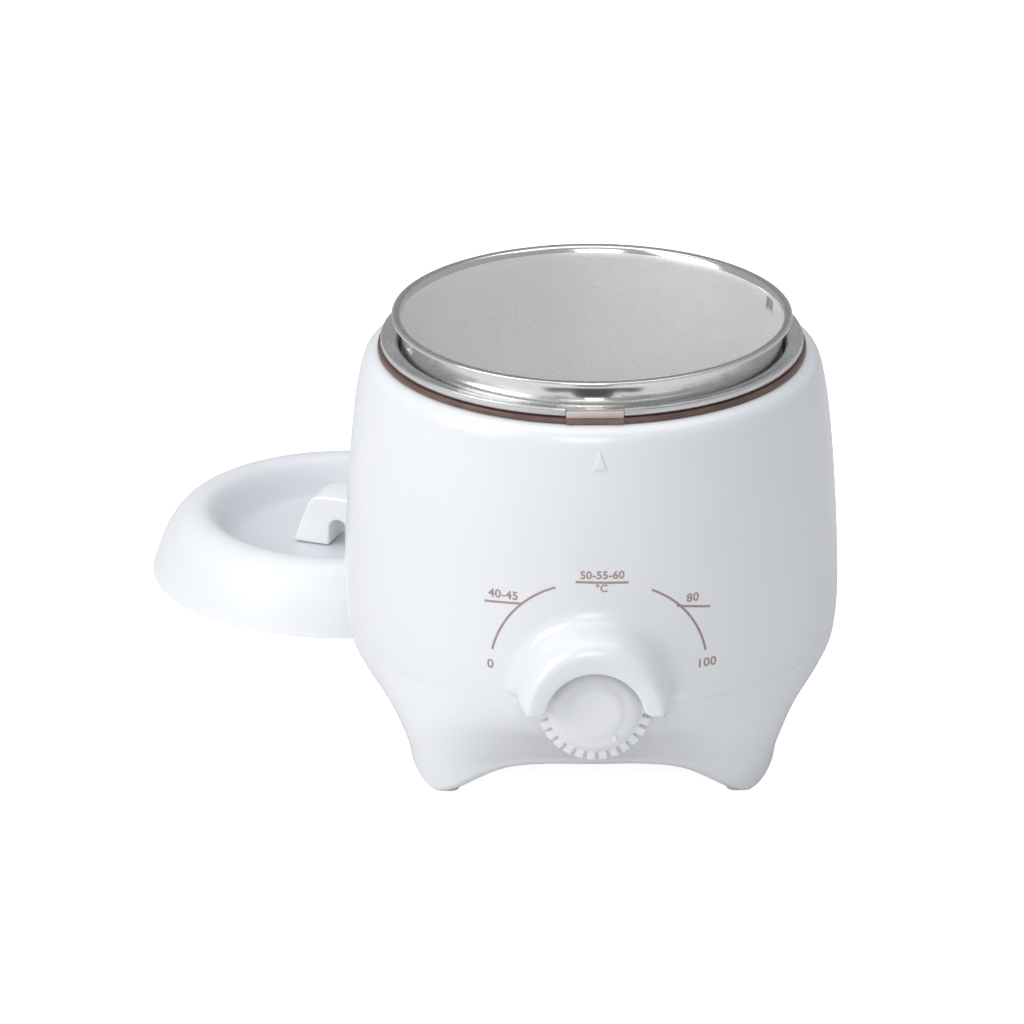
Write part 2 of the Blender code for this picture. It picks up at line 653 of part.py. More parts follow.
def build_thermostat(metal, body_mat):
    """Body with a shouldered threaded neck, its nut and the spindle inside."""
    bore = SHAFT_R + GAP
    start = -THERMOSTAT_LOW[1] - 2.0 * MM
    neck = [(bore, start), (SHOULDER_R, start), (SHOULDER_R, SHOULDER_FRONT), (NECK_R, SHOULDER_FRONT),
            (NECK_R, NECK_FRONT), (bore, NECK_FRONT)]
    body = add_object("thermostat_body", box_mesh(THERMOSTAT_LOW, THERMOSTAT_HIGH), body_mat)
    body_bore = cylinder_mesh(bore, SHAFT_BACK - 0.4 * MM, 70.0 * MM, 16)
    boolean(body, add_object("body_bore", body_bore, body_mat, knob_axis()))
    boolean(body, add_object("neck", lathe_mesh(neck, 16), body_mat, knob_axis()), "UNION")
    size, low, high = THERMOSTAT_NUT
    nut = add_object("thermostat_nut", prism_mesh(hexagon(size), low, high), metal, knob_axis())
    nut_bore = cylinder_mesh(NECK_R + GAP, 70.0 * MM, 80.0 * MM, 16)
    boolean(nut, add_object("nut_bore", nut_bore, metal, knob_axis()))
    shaft = cylinder_mesh(SHAFT_R, SHAFT_BACK, DOME_FRONT - 2.3 * MM, 16)
    add_object("thermostat_shaft", shaft, metal, knob_axis())


def build_capillary(copper):
    """Thin tube from the thermostat up to a long bulb that lies against the well."""
    bulb_r = 64.2 * MM
    corners = [(11.5 * MM, -40.2 * MM, 20.0 * MM), (13.0 * MM, -36.0 * MM, 18.0 * MM),
               (30.0 * MM, -33.0 * MM, 20.0 * MM), (44.0 * MM, -40.0 * MM, 28.0 * MM),
               (47.5 * MM, -46.0 * MM, 44.0 * MM)]
    start = math.radians(-44.0)
    corners.append((bulb_r * math.cos(start), bulb_r * math.sin(start), 82.0 * MM))
    return tube("capillary_tube", smooth_path(corners, 4), 0.8 * MM, copper, 0)


def build_fuse(body_mat, metal):
    """Thermal cut-out under the well and the spring clip over it."""
    place = Matrix.Translation((-26.0 * MM, 18.0 * MM, 42.9 * MM)) @ Matrix.Rotation(math.radians(90.0), 4, "Y")
    add_object("thermal_fuse", lathe_mesh(scaled(FUSE_OUTLINE), 12), body_mat, place)
    half = 3.6 * MM
    strip = [(-half - 5.0 * MM, 0.0), (-half - 5.0 * MM, -0.8 * MM), (-half, -0.8 * MM), (-half, -6.6 * MM),
             (half, -6.6 * MM), (half, -0.8 * MM), (half + 5.0 * MM, -0.8 * MM), (half + 5.0 * MM, 0.0),
             (half - 0.7 * MM, 0.0), (half - 0.7 * MM, -5.9 * MM), (-half + 0.7 * MM, -5.9 * MM),
             (-half + 0.7 * MM, 0.0)]
    turn = Matrix.Translation((-26.0 * MM, 18.0 * MM, 45.8 * MM)) @ Matrix.Rotation(math.radians(90.0), 4, "Z")
    turn = turn @ Matrix.Rotation(math.radians(90.0), 4, "X")
    add_object("fuse_clip", prism_mesh(strip, -2.5 * MM, 2.5 * MM), metal, turn)


# ---------------------------------------------------------------- heater band and strap

def band_arc(radius, steps):
    """Points round the band from one side of its split to the other."""
    points = []
    for step in range(steps + 1):
        angle = math.pi / 2 + BAND_SPLIT + (2 * math.pi - 2 * BAND_SPLIT) * step / steps
        points.append((radius * math.cos(angle), radius * math.sin(angle)))
    return points


def build_heater_band(mat, metal):
    """Split band round the well, its two ears at the back joined by a screw."""
    outside = band_arc(BAND_R + BAND_THICK, TURN)
    first = outside[0][0]
    last = outside[-1][0]
    root = 0.2 * MM
    outline = [(first, EAR_Y), (first - EAR_THICK, EAR_Y), (first - EAR_THICK, outside[1][1] - root)]
    outline += outside[1:-1]
    outline += [(last + EAR_THICK, outside[-2][1] - root), (last + EAR_THICK, EAR_Y), (last, EAR_Y)]
    outline += list(reversed(band_arc(BAND_R, TURN)))
    band = add_object("heater_band", prism_mesh(outline, BAND_Z[0], BAND_Z[1]), mat)
    middle = (BAND_Z[0] + BAND_Z[1]) / 2
    across = Matrix.Rotation(math.radians(90.0), 4, "Y")
    holes = cylinder_mesh(1.9 * MM, -9.0 * MM, 9.0 * MM, 12)
    boolean(band, add_object("ear_holes", holes, mat, Matrix.Translation((0.0, EAR_SCREW_Y, middle)) @ across))
    seat = first - EAR_THICK - GAP
    place = Matrix.Translation((seat, EAR_SCREW_Y, middle)) @ across
    add_object("band_clamp_screw", screw_mesh(3.0 * MM, 2.0 * MM, 1.5 * MM, 15.0 * MM), metal, place)


def build_strap(mat, metal):
    low = (-STRAP_HALF, -STRAP_WIDTH / 2, STRAP_Z)
    high = (STRAP_HALF, STRAP_WIDTH / 2, STRAP_Z + STRAP_THICK)
    strap = add_object("well_bracket", box_mesh(low, high), mat)
    for x, radius in ((0.0, STUD_R + 0.4 * MM), (-STRAP_HOLE_X, 1.9 * MM), (STRAP_HOLE_X, 1.9 * MM)):
        hole = cylinder_mesh(radius, STRAP_Z - 2.0 * MM, STRAP_Z + 4.0 * MM, 16)
        boolean(strap, add_object("strap_hole", hole, mat, Matrix.Translation((x, 0.0, 0.0))))
    for index, x in enumerate((-STRAP_HOLE_X, STRAP_HOLE_X)):
        place = Matrix.Translation((x, 0.0, STRAP_Z - GAP))
        screw = screw_mesh(3.0 * MM, 2.0 * MM, 1.45 * MM, 6.6 * MM)
        add_object(f"bracket_screw_{index + 1}", screw, metal, place)
    seat = STRAP_Z - GAP
    nut = add_object("well_nut", prism_mesh(hexagon(WELL_NUT_R), seat - WELL_NUT_HEIGHT, seat), metal)
    boolean(nut, add_object("well_nut_bore", cylinder_mesh(STUD_R + GAP, 20.0 * MM, 40.0 * MM, 16), metal))


# ---------------------------------------------------------------- lid

def lid_place():
    return Matrix.Translation((LID_X, LID_Y, TABLE_Z))


def build_lid_shell(mat):
    outline = scaled(LID_OUTER) + [(0.0, LID_FLOOR_Z), (0.0, LID_FLOOR_Z - LID_FLOOR_THICK)] + scaled(LID_INNER)
    lid = add_object("lid_shell", lathe_mesh(outline, TURN), mat, lid_place())
    for side in (-1, 1):
        hole = cylinder_mesh(1.9 * MM, LID_FLOOR_Z - 4.0 * MM, LID_FLOOR_Z + 2.0 * MM, 12)
        boolean(lid, add_object("lid_hole", hole, mat, handle_screw_place(side)))
    return lid


def handle_place():
    return lid_place() @ Matrix.Rotation(HANDLE_TURN, 4, "Z")


def handle_screw_place(side):
    return handle_place() @ Matrix.Translation((side * HANDLE_SCREW_X, 0.0, 0.0))


def build_lid_handle(mat, metal):
    """Arched bridge across the recess, drawn in the plane of its arch and extruded over its depth."""
    half = HANDLE_BASE / 2
    top = HANDLE_TOP / 2
    span = HANDLE_SPAN / 2
    outline = [(-half, GAP), (-half + 1.6 * MM, 5.0 * MM), (-top - 2.2 * MM, HANDLE_RISE - 3.6 * MM),
               (-top - 0.4 * MM, HANDLE_RISE - 0.9 * MM), (-top + 2.4 * MM, HANDLE_RISE),
               (0.0, HANDLE_RISE + 0.4 * MM)]
    outline += [(-x, z) for x, z in reversed(outline[:-1])]
    arch = [(span, GAP), (span - 0.3 * MM, HANDLE_ARCH - 4.0 * MM), (span - 2.0 * MM, HANDLE_ARCH - 1.0 * MM)]
    outline += arch + [(0.0, HANDLE_ARCH)] + [(-x, z) for x, z in reversed(arch)]
    upright = Matrix.Translation((0.0, 0.0, LID_FLOOR_Z)) @ Matrix.Rotation(math.radians(90.0), 4, "X")
    handle = add_object("lid_handle", prism_mesh(outline, -HANDLE_DEPTH / 2, HANDLE_DEPTH / 2), mat,
                        handle_place() @ upright)
    for index, side in enumerate((-1, 1)):
        hole = cylinder_mesh(1.8 * MM, LID_FLOOR_Z - 1.0 * MM, LID_FLOOR_Z + 7.6 * MM, 12)
        boolean(handle, add_object("handle_hole", hole, mat, handle_screw_place(side)))
        place = handle_screw_place(side) @ Matrix.Translation((0.0, 0.0, LID_FLOOR_Z - LID_FLOOR_THICK - GAP))
        add_object(f"lid_screw_{index + 1}", screw_mesh(3.0 * MM, 1.8 * MM, 1.45 * MM, 6.6 * MM), metal, place)


# ---------------------------------------------------------------- cord, plug and wiring

def cord_axis():
    """Turns +Z to the horizontal direction in which the cord leaves the base."""
    return (Matrix.Translation((0.0, 0.0, CORD_EXIT_Z)) @ Matrix.Rotation(CORD_EXIT, 4, "Z")
            @ Matrix.Rotation(math.radians(90.0), 4, "Y"))


def cord_point(distance, z):
    return (distance * math.cos(CORD_EXIT), distance * math.sin(CORD_EXIT), z)


def build_strain_relief(mat):
    """Flexible boot: a flange inside the wall, a neck through it and a ribbed tail outside."""
    inner = CORD_R + GAP
    flange = CORD_EXIT_WALL[0] - 0.7 * MM
    outside = CORD_EXIT_WALL[1] + 0.4 * MM
    disc = 6.4 * MM
    ring = 5.6 * MM
    outline = [(inner, flange - 2.0 * MM), (disc, flange - 2.0 * MM), (disc, flange), (BOOT_NECK_R, flange),
               (BOOT_NECK_R, outside), (ring, outside), (ring, outside + 1.6 * MM)]
    rib = outside + 2.2 * MM
    for index in range(3):
        size = 5.2 * MM - index * 0.5 * MM
        low = rib + index * 5.0 * MM
        outline += [(size - 0.9 * MM, low), (size - 0.9 * MM, low + 1.6 * MM), (size, low + 2.0 * MM),
                    (size, low + 3.6 * MM)]
    outline.append((inner, rib + 16.0 * MM))
    return add_object("strain_relief", lathe_mesh(outline, 12), mat, cord_axis())


def coil_path():
    """Flat oval coil, wound from the outside in."""
    path = []
    bends = 2 * COIL_TURNS
    per_bend = 6
    for bend in range(bends):
        for step in range(per_bend + 1):
            progress = (bend + step / per_bend) / bends
            radius = COIL_INNER_R + COIL_PITCH * COIL_TURNS * (1.0 - progress)
            angle = math.pi * step / per_bend
            side = 1 if bend % 2 == 0 else -1
            x = COIL_X + side * radius * math.cos(angle)
            y = (COIL_Y[1] if side > 0 else COIL_Y[0]) + side * radius * math.sin(angle)
            path.append((x, y, CORD_REST_Z))
    return path


def build_cord(mat):
    """Mains cord: out of the boot, down to the table, round the coil and over it to the plug."""
    outer = COIL_X + COIL_INNER_R + COIL_PITCH * COIL_TURNS
    over = TABLE_Z + 3.0 * CORD_R + 0.8 * MM
    plug_z = TABLE_Z + PLUG_THICK / 2
    near, far = COIL_Y
    drop = [cord_point(96.0 * MM, CORD_EXIT_Z), cord_point(103.0 * MM, CORD_EXIT_Z - 0.6 * MM),
            (46.0 * MM, 107.0 * MM, 30.0 * MM), (57.0 * MM, 119.0 * MM, 10.0 * MM),
            (outer - 1.5 * MM, 138.0 * MM, -6.0 * MM), (outer, 156.0 * MM, CORD_REST_Z)]
    tail = [(COIL_X + COIL_INNER_R, near + 12.0 * MM, CORD_REST_Z),
            (COIL_X + 9.0 * MM, near + 30.0 * MM, CORD_REST_Z),
            (COIL_X + 4.0 * MM, far - 16.0 * MM, over - 4.0 * MM), (COIL_X, far + 2.0 * MM, over),
            (COIL_X, far + 38.0 * MM, over), (COIL_X, PLUG_Y[0] - 6.0 * MM, plug_z),
            (COIL_X, PLUG_Y[0] - 0.6 * MM, plug_z)]
    path = [Vector(cord_point(62.0 * MM, CORD_EXIT_Z))]
    path += smooth_path(drop, 3)
    path += [Vector(point) for point in coil_path()]
    path += smooth_path(tail, 3)
    return tube("power_cord", path, CORD_R, mat, 1)


def build_plug(mat, brass):
    """Flat two-pin plug lying on the table."""
    half = 17.0 * MM
    neck = 5.0 * MM
    outline = [(-neck, 0.0), (neck, 0.0), (neck + 1.0 * MM, 10.0 * MM), (half - 3.0 * MM, 19.0 * MM),
               (half, 24.0 * MM), (half, 34.0 * MM), (-half, 34.0 * MM), (-half, 24.0 * MM),
               (-half + 3.0 * MM, 19.0 * MM), (-neck - 1.0 * MM, 10.0 * MM)]
    place = Matrix.Translation((COIL_X, PLUG_Y[0], TABLE_Z))
    plug = add_object("plug_body", prism_mesh(outline, 0.1 * MM, PLUG_THICK), mat, place)
    bevel = plug.modifiers.new("soft_edges", "BEVEL")
    bevel.width = 1.6 * MM
    bevel.segments = 2
    for index, side in enumerate((-1, 1)):
        pin_axis = place @ Matrix.Translation((side * 9.5 * MM, 34.0 * MM + GAP, PLUG_THICK / 2))
        pin_axis = pin_axis @ Matrix.Rotation(math.radians(-90.0), 4, "X")
        outline = [(0.0, 0.0), (2.0 * MM, 0.0), (2.0 * MM, 17.5 * MM), (1.2 * MM, 19.0 * MM), (0.0, 19.0 * MM)]
        add_object(f"plug_pin_{index + 1}", lathe_mesh(outline, 12), brass, pin_axis)


def build_wires(brown, blue, green):
    """Live to the thermostat, neutral to the band and earth to the strap."""
    start = cord_point(59.0 * MM, CORD_EXIT_Z)
    x, y, z = start
    live = [(x - 1.6 * MM, y, z), (13.0 * MM, 32.0 * MM, 27.0 * MM), (8.0 * MM, 4.0 * MM, 24.0 * MM),
            (5.0 * MM, -28.0 * MM, 25.0 * MM), (5.0 * MM, -40.6 * MM, 25.0 * MM)]
    neutral = [(x + 1.6 * MM, y + 0.4 * MM, z + 1.0 * MM), (22.0 * MM, 57.5 * MM, 43.0 * MM),
               (23.0 * MM, 60.4 * MM, 50.0 * MM), (23.0 * MM, 60.4 * MM, 60.0 * MM)]
    earth = [(x, y, z - 2.4 * MM), (19.0 * MM, 34.0 * MM, 29.0 * MM), (16.0 * MM, 14.0 * MM, 31.0 * MM),
             (16.0 * MM, 8.4 * MM, 33.0 * MM)]
    tube("wire_live", smooth_path(live, 3), WIRE_R, brown, 0)
    tube("wire_neutral", smooth_path(neutral, 3), WIRE_R, blue, 0)
    tube("wire_earth", smooth_path(earth, 3), WIRE_R, green, 0)


def main():
    clear_scene()
    white = material("white_plastic", (0.80, 0.81, 0.84), 0.22)
    lid_white = material("lid_plastic", (0.78, 0.79, 0.83), 0.25)
    pot_metal = material("satin_aluminium", (0.62, 0.62, 0.61), 0.38, 1.0)
    well_metal = material("bright_aluminium", (0.68, 0.68, 0.68), 0.28, 1.0)
    collar = material("collar_brown", (0.12, 0.06, 0.045), 0.45)
    pad = material("pad_rubber", (0.55, 0.55, 0.55), 0.8)
    steel = material("zinc_steel", (0.55, 0.55, 0.54), 0.4, 1.0)
    mica = material("band_steel", (0.45, 0.44, 0.42), 0.45, 1.0)
    bakelite = material("thermostat_black", (0.03, 0.03, 0.03), 0.5)
    copper = material("copper", (0.55, 0.25, 0.14), 0.35, 1.0)
    cord = material("cord_white", (0.70, 0.71, 0.73), 0.45)
    brass = material("pin_nickel", (0.66, 0.62, 0.55), 0.3, 1.0)
    brown = material("wire_brown", (0.18, 0.07, 0.03), 0.4)
    blue = material("wire_blue", (0.03, 0.10, 0.45), 0.4)
    green = material("wire_green", (0.10, 0.35, 0.05), 0.4)
    build_upper_housing(white)
    build_base_shell(white)
    build_foot_pads(pad)
    build_base_screws(steel)
    build_inner_pot(pot_metal)
    build_heater_well(well_metal)
    build_insulating_collar(collar)
    build_knob(white)
    build_thermostat(steel, bakelite)
    build_capillary(copper)
    build_fuse(bakelite, steel)
    build_heater_band(mica, steel)
    build_strap(steel, steel)
    build_lid_shell(lid_white)
    build_lid_handle(lid_white, steel)
    build_strain_relief(cord)
    build_cord(cord)
    build_plug(cord, brass)
    build_wires(brown, blue, green)


main()
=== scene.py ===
"""Looks of the wax warmer pot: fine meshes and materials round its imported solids, in the same frame.

The origin is on the flat underside of the base, on the pot's axis. +Z is up and the knob faces -Y.
Outlines are (radius, height) in millimetres in that frame unless a comment says otherwise.
"""

import json
import math

import bmesh
import bpy
from mathutils import Matrix, Vector


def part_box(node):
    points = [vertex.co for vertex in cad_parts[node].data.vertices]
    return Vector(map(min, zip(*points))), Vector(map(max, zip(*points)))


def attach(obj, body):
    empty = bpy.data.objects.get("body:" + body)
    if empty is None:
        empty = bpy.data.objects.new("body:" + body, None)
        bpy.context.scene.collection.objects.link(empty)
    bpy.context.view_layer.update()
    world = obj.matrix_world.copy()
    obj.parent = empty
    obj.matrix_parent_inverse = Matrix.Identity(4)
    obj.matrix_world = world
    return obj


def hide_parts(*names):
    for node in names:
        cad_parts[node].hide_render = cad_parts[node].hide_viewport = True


MM = 0.001

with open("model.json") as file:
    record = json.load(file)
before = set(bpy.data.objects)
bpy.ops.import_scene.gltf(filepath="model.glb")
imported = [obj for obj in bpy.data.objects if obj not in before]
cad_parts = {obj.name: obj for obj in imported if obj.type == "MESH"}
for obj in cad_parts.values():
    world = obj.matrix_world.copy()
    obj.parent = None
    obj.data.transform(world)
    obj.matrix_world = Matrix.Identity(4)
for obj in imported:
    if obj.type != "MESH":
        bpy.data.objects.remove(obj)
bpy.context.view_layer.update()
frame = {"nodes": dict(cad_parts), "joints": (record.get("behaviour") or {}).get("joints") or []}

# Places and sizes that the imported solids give
JOINTS = {joint["name"]: joint for joint in frame["joints"]}
KNOB_PLACE = Vector(JOINTS["knob_turn"]["pos_m"])
KNOB_HEIGHT = KNOB_PLACE.z / MM
TABLE_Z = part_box("foot_pad_1")[0].z
TABLE = TABLE_Z / MM
HOUSING_LOW, HOUSING_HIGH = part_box("upper_housing")
POT_LOW, POT_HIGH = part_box("inner_pot")
COLLAR_LOW, COLLAR_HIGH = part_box("insulating_collar")
LID_LOW, LID_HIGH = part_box("lid_shell")
PLUG_LOW, PLUG_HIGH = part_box("plug_body")
PLUG_X = (PLUG_LOW.x + PLUG_HIGH.x) / 2
LID_MIDDLE = Vector(((LID_LOW.x + LID_HIGH.x) / 2, (LID_LOW.y + LID_HIGH.y) / 2, LID_LOW.z))

# How finely round pieces are turned
TURN = 192
SMALL_TURN = 48

# Body shells: (height, radius) down the skins, but (radius, height) up HOUSING_INNER
PARTING_Z = 27.8
HOUSING_OUTER = [(116.1, 67.6), (115.2, 69.35), (113.2, 70.6), (109.0, 71.7), (100.0, 73.2), (82.0, 74.9),
                 (60.0, 76.2), (41.0, 76.7), (33.0, 76.4), (27.86, 75.8)]
HOUSING_INNER = [(73.1, 45.0), (72.6, 64.0), (71.8, 82.0), (70.4, 98.0), (68.6, 109.0), (66.8, 112.2),
                 (62.95, 113.2)]
SIDE_SKIN = [(27.8, 75.8), (24.5, 75.1), (21.5, 73.8), (17.3, 71.0), (9.6, 62.4), (1.2, 54.5)]
LEG_SKIN = [(27.8, 75.8), (12.6, 75.3), (0.3, 72.3), (-8.3, 69.8), (-12.0, 68.2)]
LEG_SHARPNESS = 3.4
ARCH_START = math.radians(20.0)
ARCH_END = math.radians(46.0)
ARCH_EASE = 1.25
PAD_SHOW = 0.6
FOOT_WIDTH = 12.8
FOOT_ROUND = 2.8
WALL = 2.6
FLOOR = 2.4

# Hood over the knob: distances from the knob's axis, and depths in front of the pot's axis
HOOD_INNER_R = 15.2
HOOD_FACE_R = 20.2
HOOD_SIDE_R = 26.3
HOOD_TOP_R = 28.9
HOOD_HOLLOW_R = 19.2
HOOD_MIDDLE_R = 21.0
HOOD_FRONT = -HOUSING_LOW.y / MM
HOOD_LIP = 2.8
HOOD_BLEND = 6
POCKET_R = 18.2
POCKET_DEPTH = 75.7
HOOD_FILLET = 4.4
HOOD_FILLET_OUT = 1.9
HOOD_END = math.radians(3.0)
HOOD_TIP_INNER = 3.8
HOOD_TIP_OUTER = 2.6
HOOD_TIP_FACE = 1.3
HOOD_ROOT = 1.6
HOOD_EDGE = 0.9

# Holes through the housing and the base
NECK_BORE_R = 3.9
CORD_HOLE_R = 4.3
BOSS_R = 6.4
SHAFT_NOTCH = 6.2
PAST_WALL = 90.0

# Knob: the dome's outline is (distance from its axis, depth in front of the pot's axis)
TEETH = 28
STEPS_PER_TOOTH = 12
WHEEL_R = 17.5
TOOTH_DEPTH = 2.6
NOTCH_SHARE = 0.36
WHEEL_BACK = 76.2
WHEEL_FRONT = 78.8
DOME = [(14.75, 78.8), (14.5, 78.86), (14.3, 79.05), (14.1, 79.4), (13.7, 80.1), (13.0, 80.9), (12.1, 81.55),
        (11.1, 82.0), (10.2, 82.28), (9.6, 82.45), (9.1, 82.68), (8.6, 82.98), (8.0, 83.3), (7.3, 83.52),
        (6.4, 83.64), (4.4, 83.7), (2.0, 83.72)]
KNOB_CAVITY_R = 11.5
KNOB_CAVITY_DEPTH = 3.4
SHAFT_BORE_R = 2.8
DOME_FRONT = 83.7
INDEX_CLOCK = math.radians(145.0)
INDEX_R = 10.9
INDEX_DOT_R = 0.95

# Pot, well and collar
POT_R = 58.6
POT_WALL = 1.2
POT_CORNER = 7.0
POT_FLARE = [(58.9, 114.0), (58.95, 120.0), (59.0, 122.9), (59.05, 124.6), (59.15, 126.0), (59.3, 126.6),
             (59.7, 127.1), (60.3, 127.3), (61.6, 127.35)]
POT_LIP_R = 61.1
POT_INNER_FLARE = [(59.0, 127.7), (58.6, 126.9), (58.3, 125.9), (58.1, 124.4), (57.9, 121.5), (57.4, 114.0)]
SLOT_AZIMUTH = math.radians(17.5)
SLOT_WIDTH = 6.0
SLOT_Z = 124.0
SLOT_HEIGHT = 4.2
WELL_R = 59.6
WELL_WALL = 1.0
WELL_CORNER = 6.0
WELL_FLOOR = 47.2
WELL_FLANGE_R = 65.2
WELL_FLANGE_Z = 120.6
WELL_FLANGE_THICK = 2.0
NOTCH_WIDTH = 18.0
NOTCH_INNER_R = 63.4
COLLAR_BAND_Z = 116.8


# ---- curves and meshes

def curve_value(table, x):
    """Smooth value at x through (x, value) pairs whose x falls, by cubic pieces."""
    last = len(table) - 1
    x = min(max(x, table[last][0]), table[0][0])
    slot = 0
    while slot < last - 1 and x < table[slot + 1][0]:
        slot += 1
    slopes = []
    for index in (slot, slot + 1):
        low = max(index - 1, 0)
        high = min(index + 1, last)
        slopes.append((table[high][1] - table[low][1]) / (table[high][0] - table[low][0]))
    span = table[slot + 1][0] - table[slot][0]
    t = (x - table[slot][0]) / span
    keep = 2 * t ** 3 - 3 * t ** 2 + 1
    return (keep * table[slot][1] + (1 - keep) * table[slot + 1][1]
            + (t ** 3 - 2 * t ** 2 + t) * span * slopes[0] + (t ** 3 - t ** 2) * span * slopes[1])


def arc(centre, radius, start, end, count):
    """Points on a circle in the (radius, height) plane, angles in degrees."""
    points = []
    for index in range(count + 1):
        angle = math.radians(start + (end - start) * index / count)
        points.append((centre[0] + radius * math.cos(angle), centre[1] + radius * math.sin(angle)))
    return points


def spline(corners, steps):
    """Catmull-Rom points through the corners, which may be of any dimension."""
    points = [Vector(corner) for corner in corners]
    ends = [2 * points[0] - points[1]] + points + [2 * points[-1] - points[-2]]
    path = []
    for index in range(1, len(ends) - 2):
        a, b, c, d = ends[index - 1:index + 3]
        for step in range(steps):
            t = step / steps
            path.append(0.5 * ((2 * b) + (c - a) * t + (2 * a - 5 * b + 4 * c - d) * t ** 2
                               + (3 * b - a - 3 * c + d) * t ** 3))
    path.append(points[-1])
    return path


def rounded(outline, radius, steps=3):
    """The closed outline with every corner turned into a small arc of about that radius."""
    result = []
    count = len(outline)
    for index, corner in enumerate(outline):
        here = Vector(corner)
        before = Vector(outline[index - 1]) - here
        after = Vector(outline[(index + 1) % count]) - here
        if min(before.length, after.length) < 1e-9 or before.angle(after) > math.radians(170.0):
            result.append(tuple(here))
            continue
        cut = min(radius, before.length * 0.45, after.length * 0.45)
        start = here + before.normalized() * cut
        end = here + after.normalized() * cut
        for step in range(steps + 1):
            t = step / steps
            point = (1 - t) ** 2 * start + 2 * t * (1 - t) * here + t * t * end
            result.append(tuple(point))
    return result


def bridge(bm, ring, other):
    """Faces between two closed rings of the same count, or between a ring and a single point."""
    steps = max(len(ring), len(other))
    if len(ring) == 1 and len(other) == 1:
        return
    for step in range(steps):
        after = (step + 1) % steps
        if len(ring) == 1:
            bm.faces.new((ring[0], other[step], other[after]))
        elif len(other) == 1:
            bm.faces.new((ring[step], ring[after], other[0]))
        else:
            bm.faces.new((ring[step], ring[after], other[after], other[step]))


def polar(radius, angle, height):
    """Point in metres from an azimuth and a radius and height in millimetres."""
    return (radius * math.cos(angle) * MM, radius * math.sin(angle) * MM, height * MM)


def lathe(outline, steps=TURN):
    """Spins a closed outline of (radius, height) in millimetres round Z."""
    bm = bmesh.new()
    rings = []
    for radius, height in outline:
        if radius < 1e-6:
            rings.append([bm.verts.new((0.0, 0.0, height * MM))])
            continue
        ring = []
        for step in range(steps):
            ring.append(bm.verts.new(polar(radius, 2.0 * math.pi * step / steps, height)))
        rings.append(ring)
    for index, ring in enumerate(rings):
        bridge(bm, ring, rings[(index + 1) % len(rings)])
    return bm


def add_skin(bm, rings, closed=False):
    """Adds a skin through closed rings of points in metres, with flat ends unless it closes on itself."""
    loops = [[bm.verts.new(point) for point in ring] for ring in rings]
    for ring, other in zip(loops, loops[1:]):
        bridge(bm, ring, other)
    if closed:
        bridge(bm, loops[-1], loops[0])
    else:
        bm.faces.new(loops[0])
        bm.faces.new(list(reversed(loops[-1])))
    return bm


def lofted(rings, closed=False):
    return add_skin(bmesh.new(), rings, closed)


def extruded(outline, low, high):
    """Plane outline of (x, y) in millimetres, extruded between two heights in millimetres."""
    bottom = [(x * MM, y * MM, low * MM) for x, y in outline]
    top = [(x * MM, y * MM, high * MM) for x, y in outline]
    return lofted([bottom, top])


def box(low, high):
    """Box between two corners in millimetres."""
    outline = [(low[0], low[1]), (high[0], low[1]), (high[0], high[1]), (low[0], high[1])]
    return extruded(outline, low[2], high[2])


def cylinder(radius, low, high, steps=SMALL_TURN):
    return lathe([(0.0, low), (radius, low), (radius, high), (0.0, high)], steps)


def linked(name, data):
    """New object in the scene, round its data."""
    item = bpy.data.objects.new(name, data)
    bpy.context.scene.collection.objects.link(item)
    return item


def final_mesh(item):
    """New mesh with the object's modifiers or text applied."""
    bpy.context.view_layer.update()
    graph = bpy.context.evaluated_depsgraph_get()
    return bpy.data.meshes.new_from_object(item.evaluated_get(graph))


def shape(name, bm, material, place=None, sharp=32.0):
    """Turns a bmesh into an object: outward faces, smooth shading and sharp edges above an angle."""
    bmesh.ops.remove_doubles(bm, verts=bm.verts, dist=1e-7)
    bmesh.ops.recalc_face_normals(bm, faces=bm.faces)
    if place is not None:
        bm.transform(place)
    mesh = bpy.data.meshes.new(name)
    bm.to_mesh(mesh)
    bm.free()
    mesh.shade_smooth()
    mesh.set_sharp_from_angle(angle=math.radians(sharp))
    mesh.materials.append(material)
    return linked(name, mesh)


def baked(piece, sharp=32.0):
    """Applies the piece's modifiers to its mesh."""
    mesh = final_mesh(piece)
    mesh.shade_smooth()
    mesh.set_sharp_from_angle(angle=math.radians(sharp))
    piece.modifiers.clear()
    piece.data = mesh
    mesh.name = piece.name
    return piece


def boolean(piece, tool, operation="DIFFERENCE"):
    """Cuts or joins with one tool, which is then removed."""
    modifier = piece.modifiers.new("cut", "BOOLEAN")
    modifier.solver = "EXACT"
    modifier.operation = operation
    modifier.object = tool
    baked(piece)
    bpy.data.objects.remove(tool, do_unlink=True)
    return piece


def softened(piece, width, segments=3, angle=30.0):
    """Rounds the piece's sharp edges by a width in millimetres."""
    bevel = piece.modifiers.new("soft", "BEVEL")
    bevel.width = width * MM
    bevel.segments = segments
    bevel.limit_method = "ANGLE"
    bevel.angle_limit = math.radians(angle)
    bevel.harden_normals = False
    return baked(piece)


def tube(points, radius, steps=16):
    """Round bar through points in metres: rings carried along the path with the least twist."""
    rings = []
    side = None
    for index, point in enumerate(points):
        before = points[max(index - 1, 0)]
        after = points[min(index + 1, len(points) - 1)]
        along = (after - before).normalized()
        if side is None:
            side = along.orthogonal().normalized()
        side = (side - along * side.dot(along)).normalized()
        other = along.cross(side)
        ring = []
        for step in range(steps):
            angle = 2.0 * math.pi * step / steps
            ring.append(point + (side * math.cos(angle) + other * math.sin(angle)) * radius)
        rings.append(ring)
    return lofted(rings)


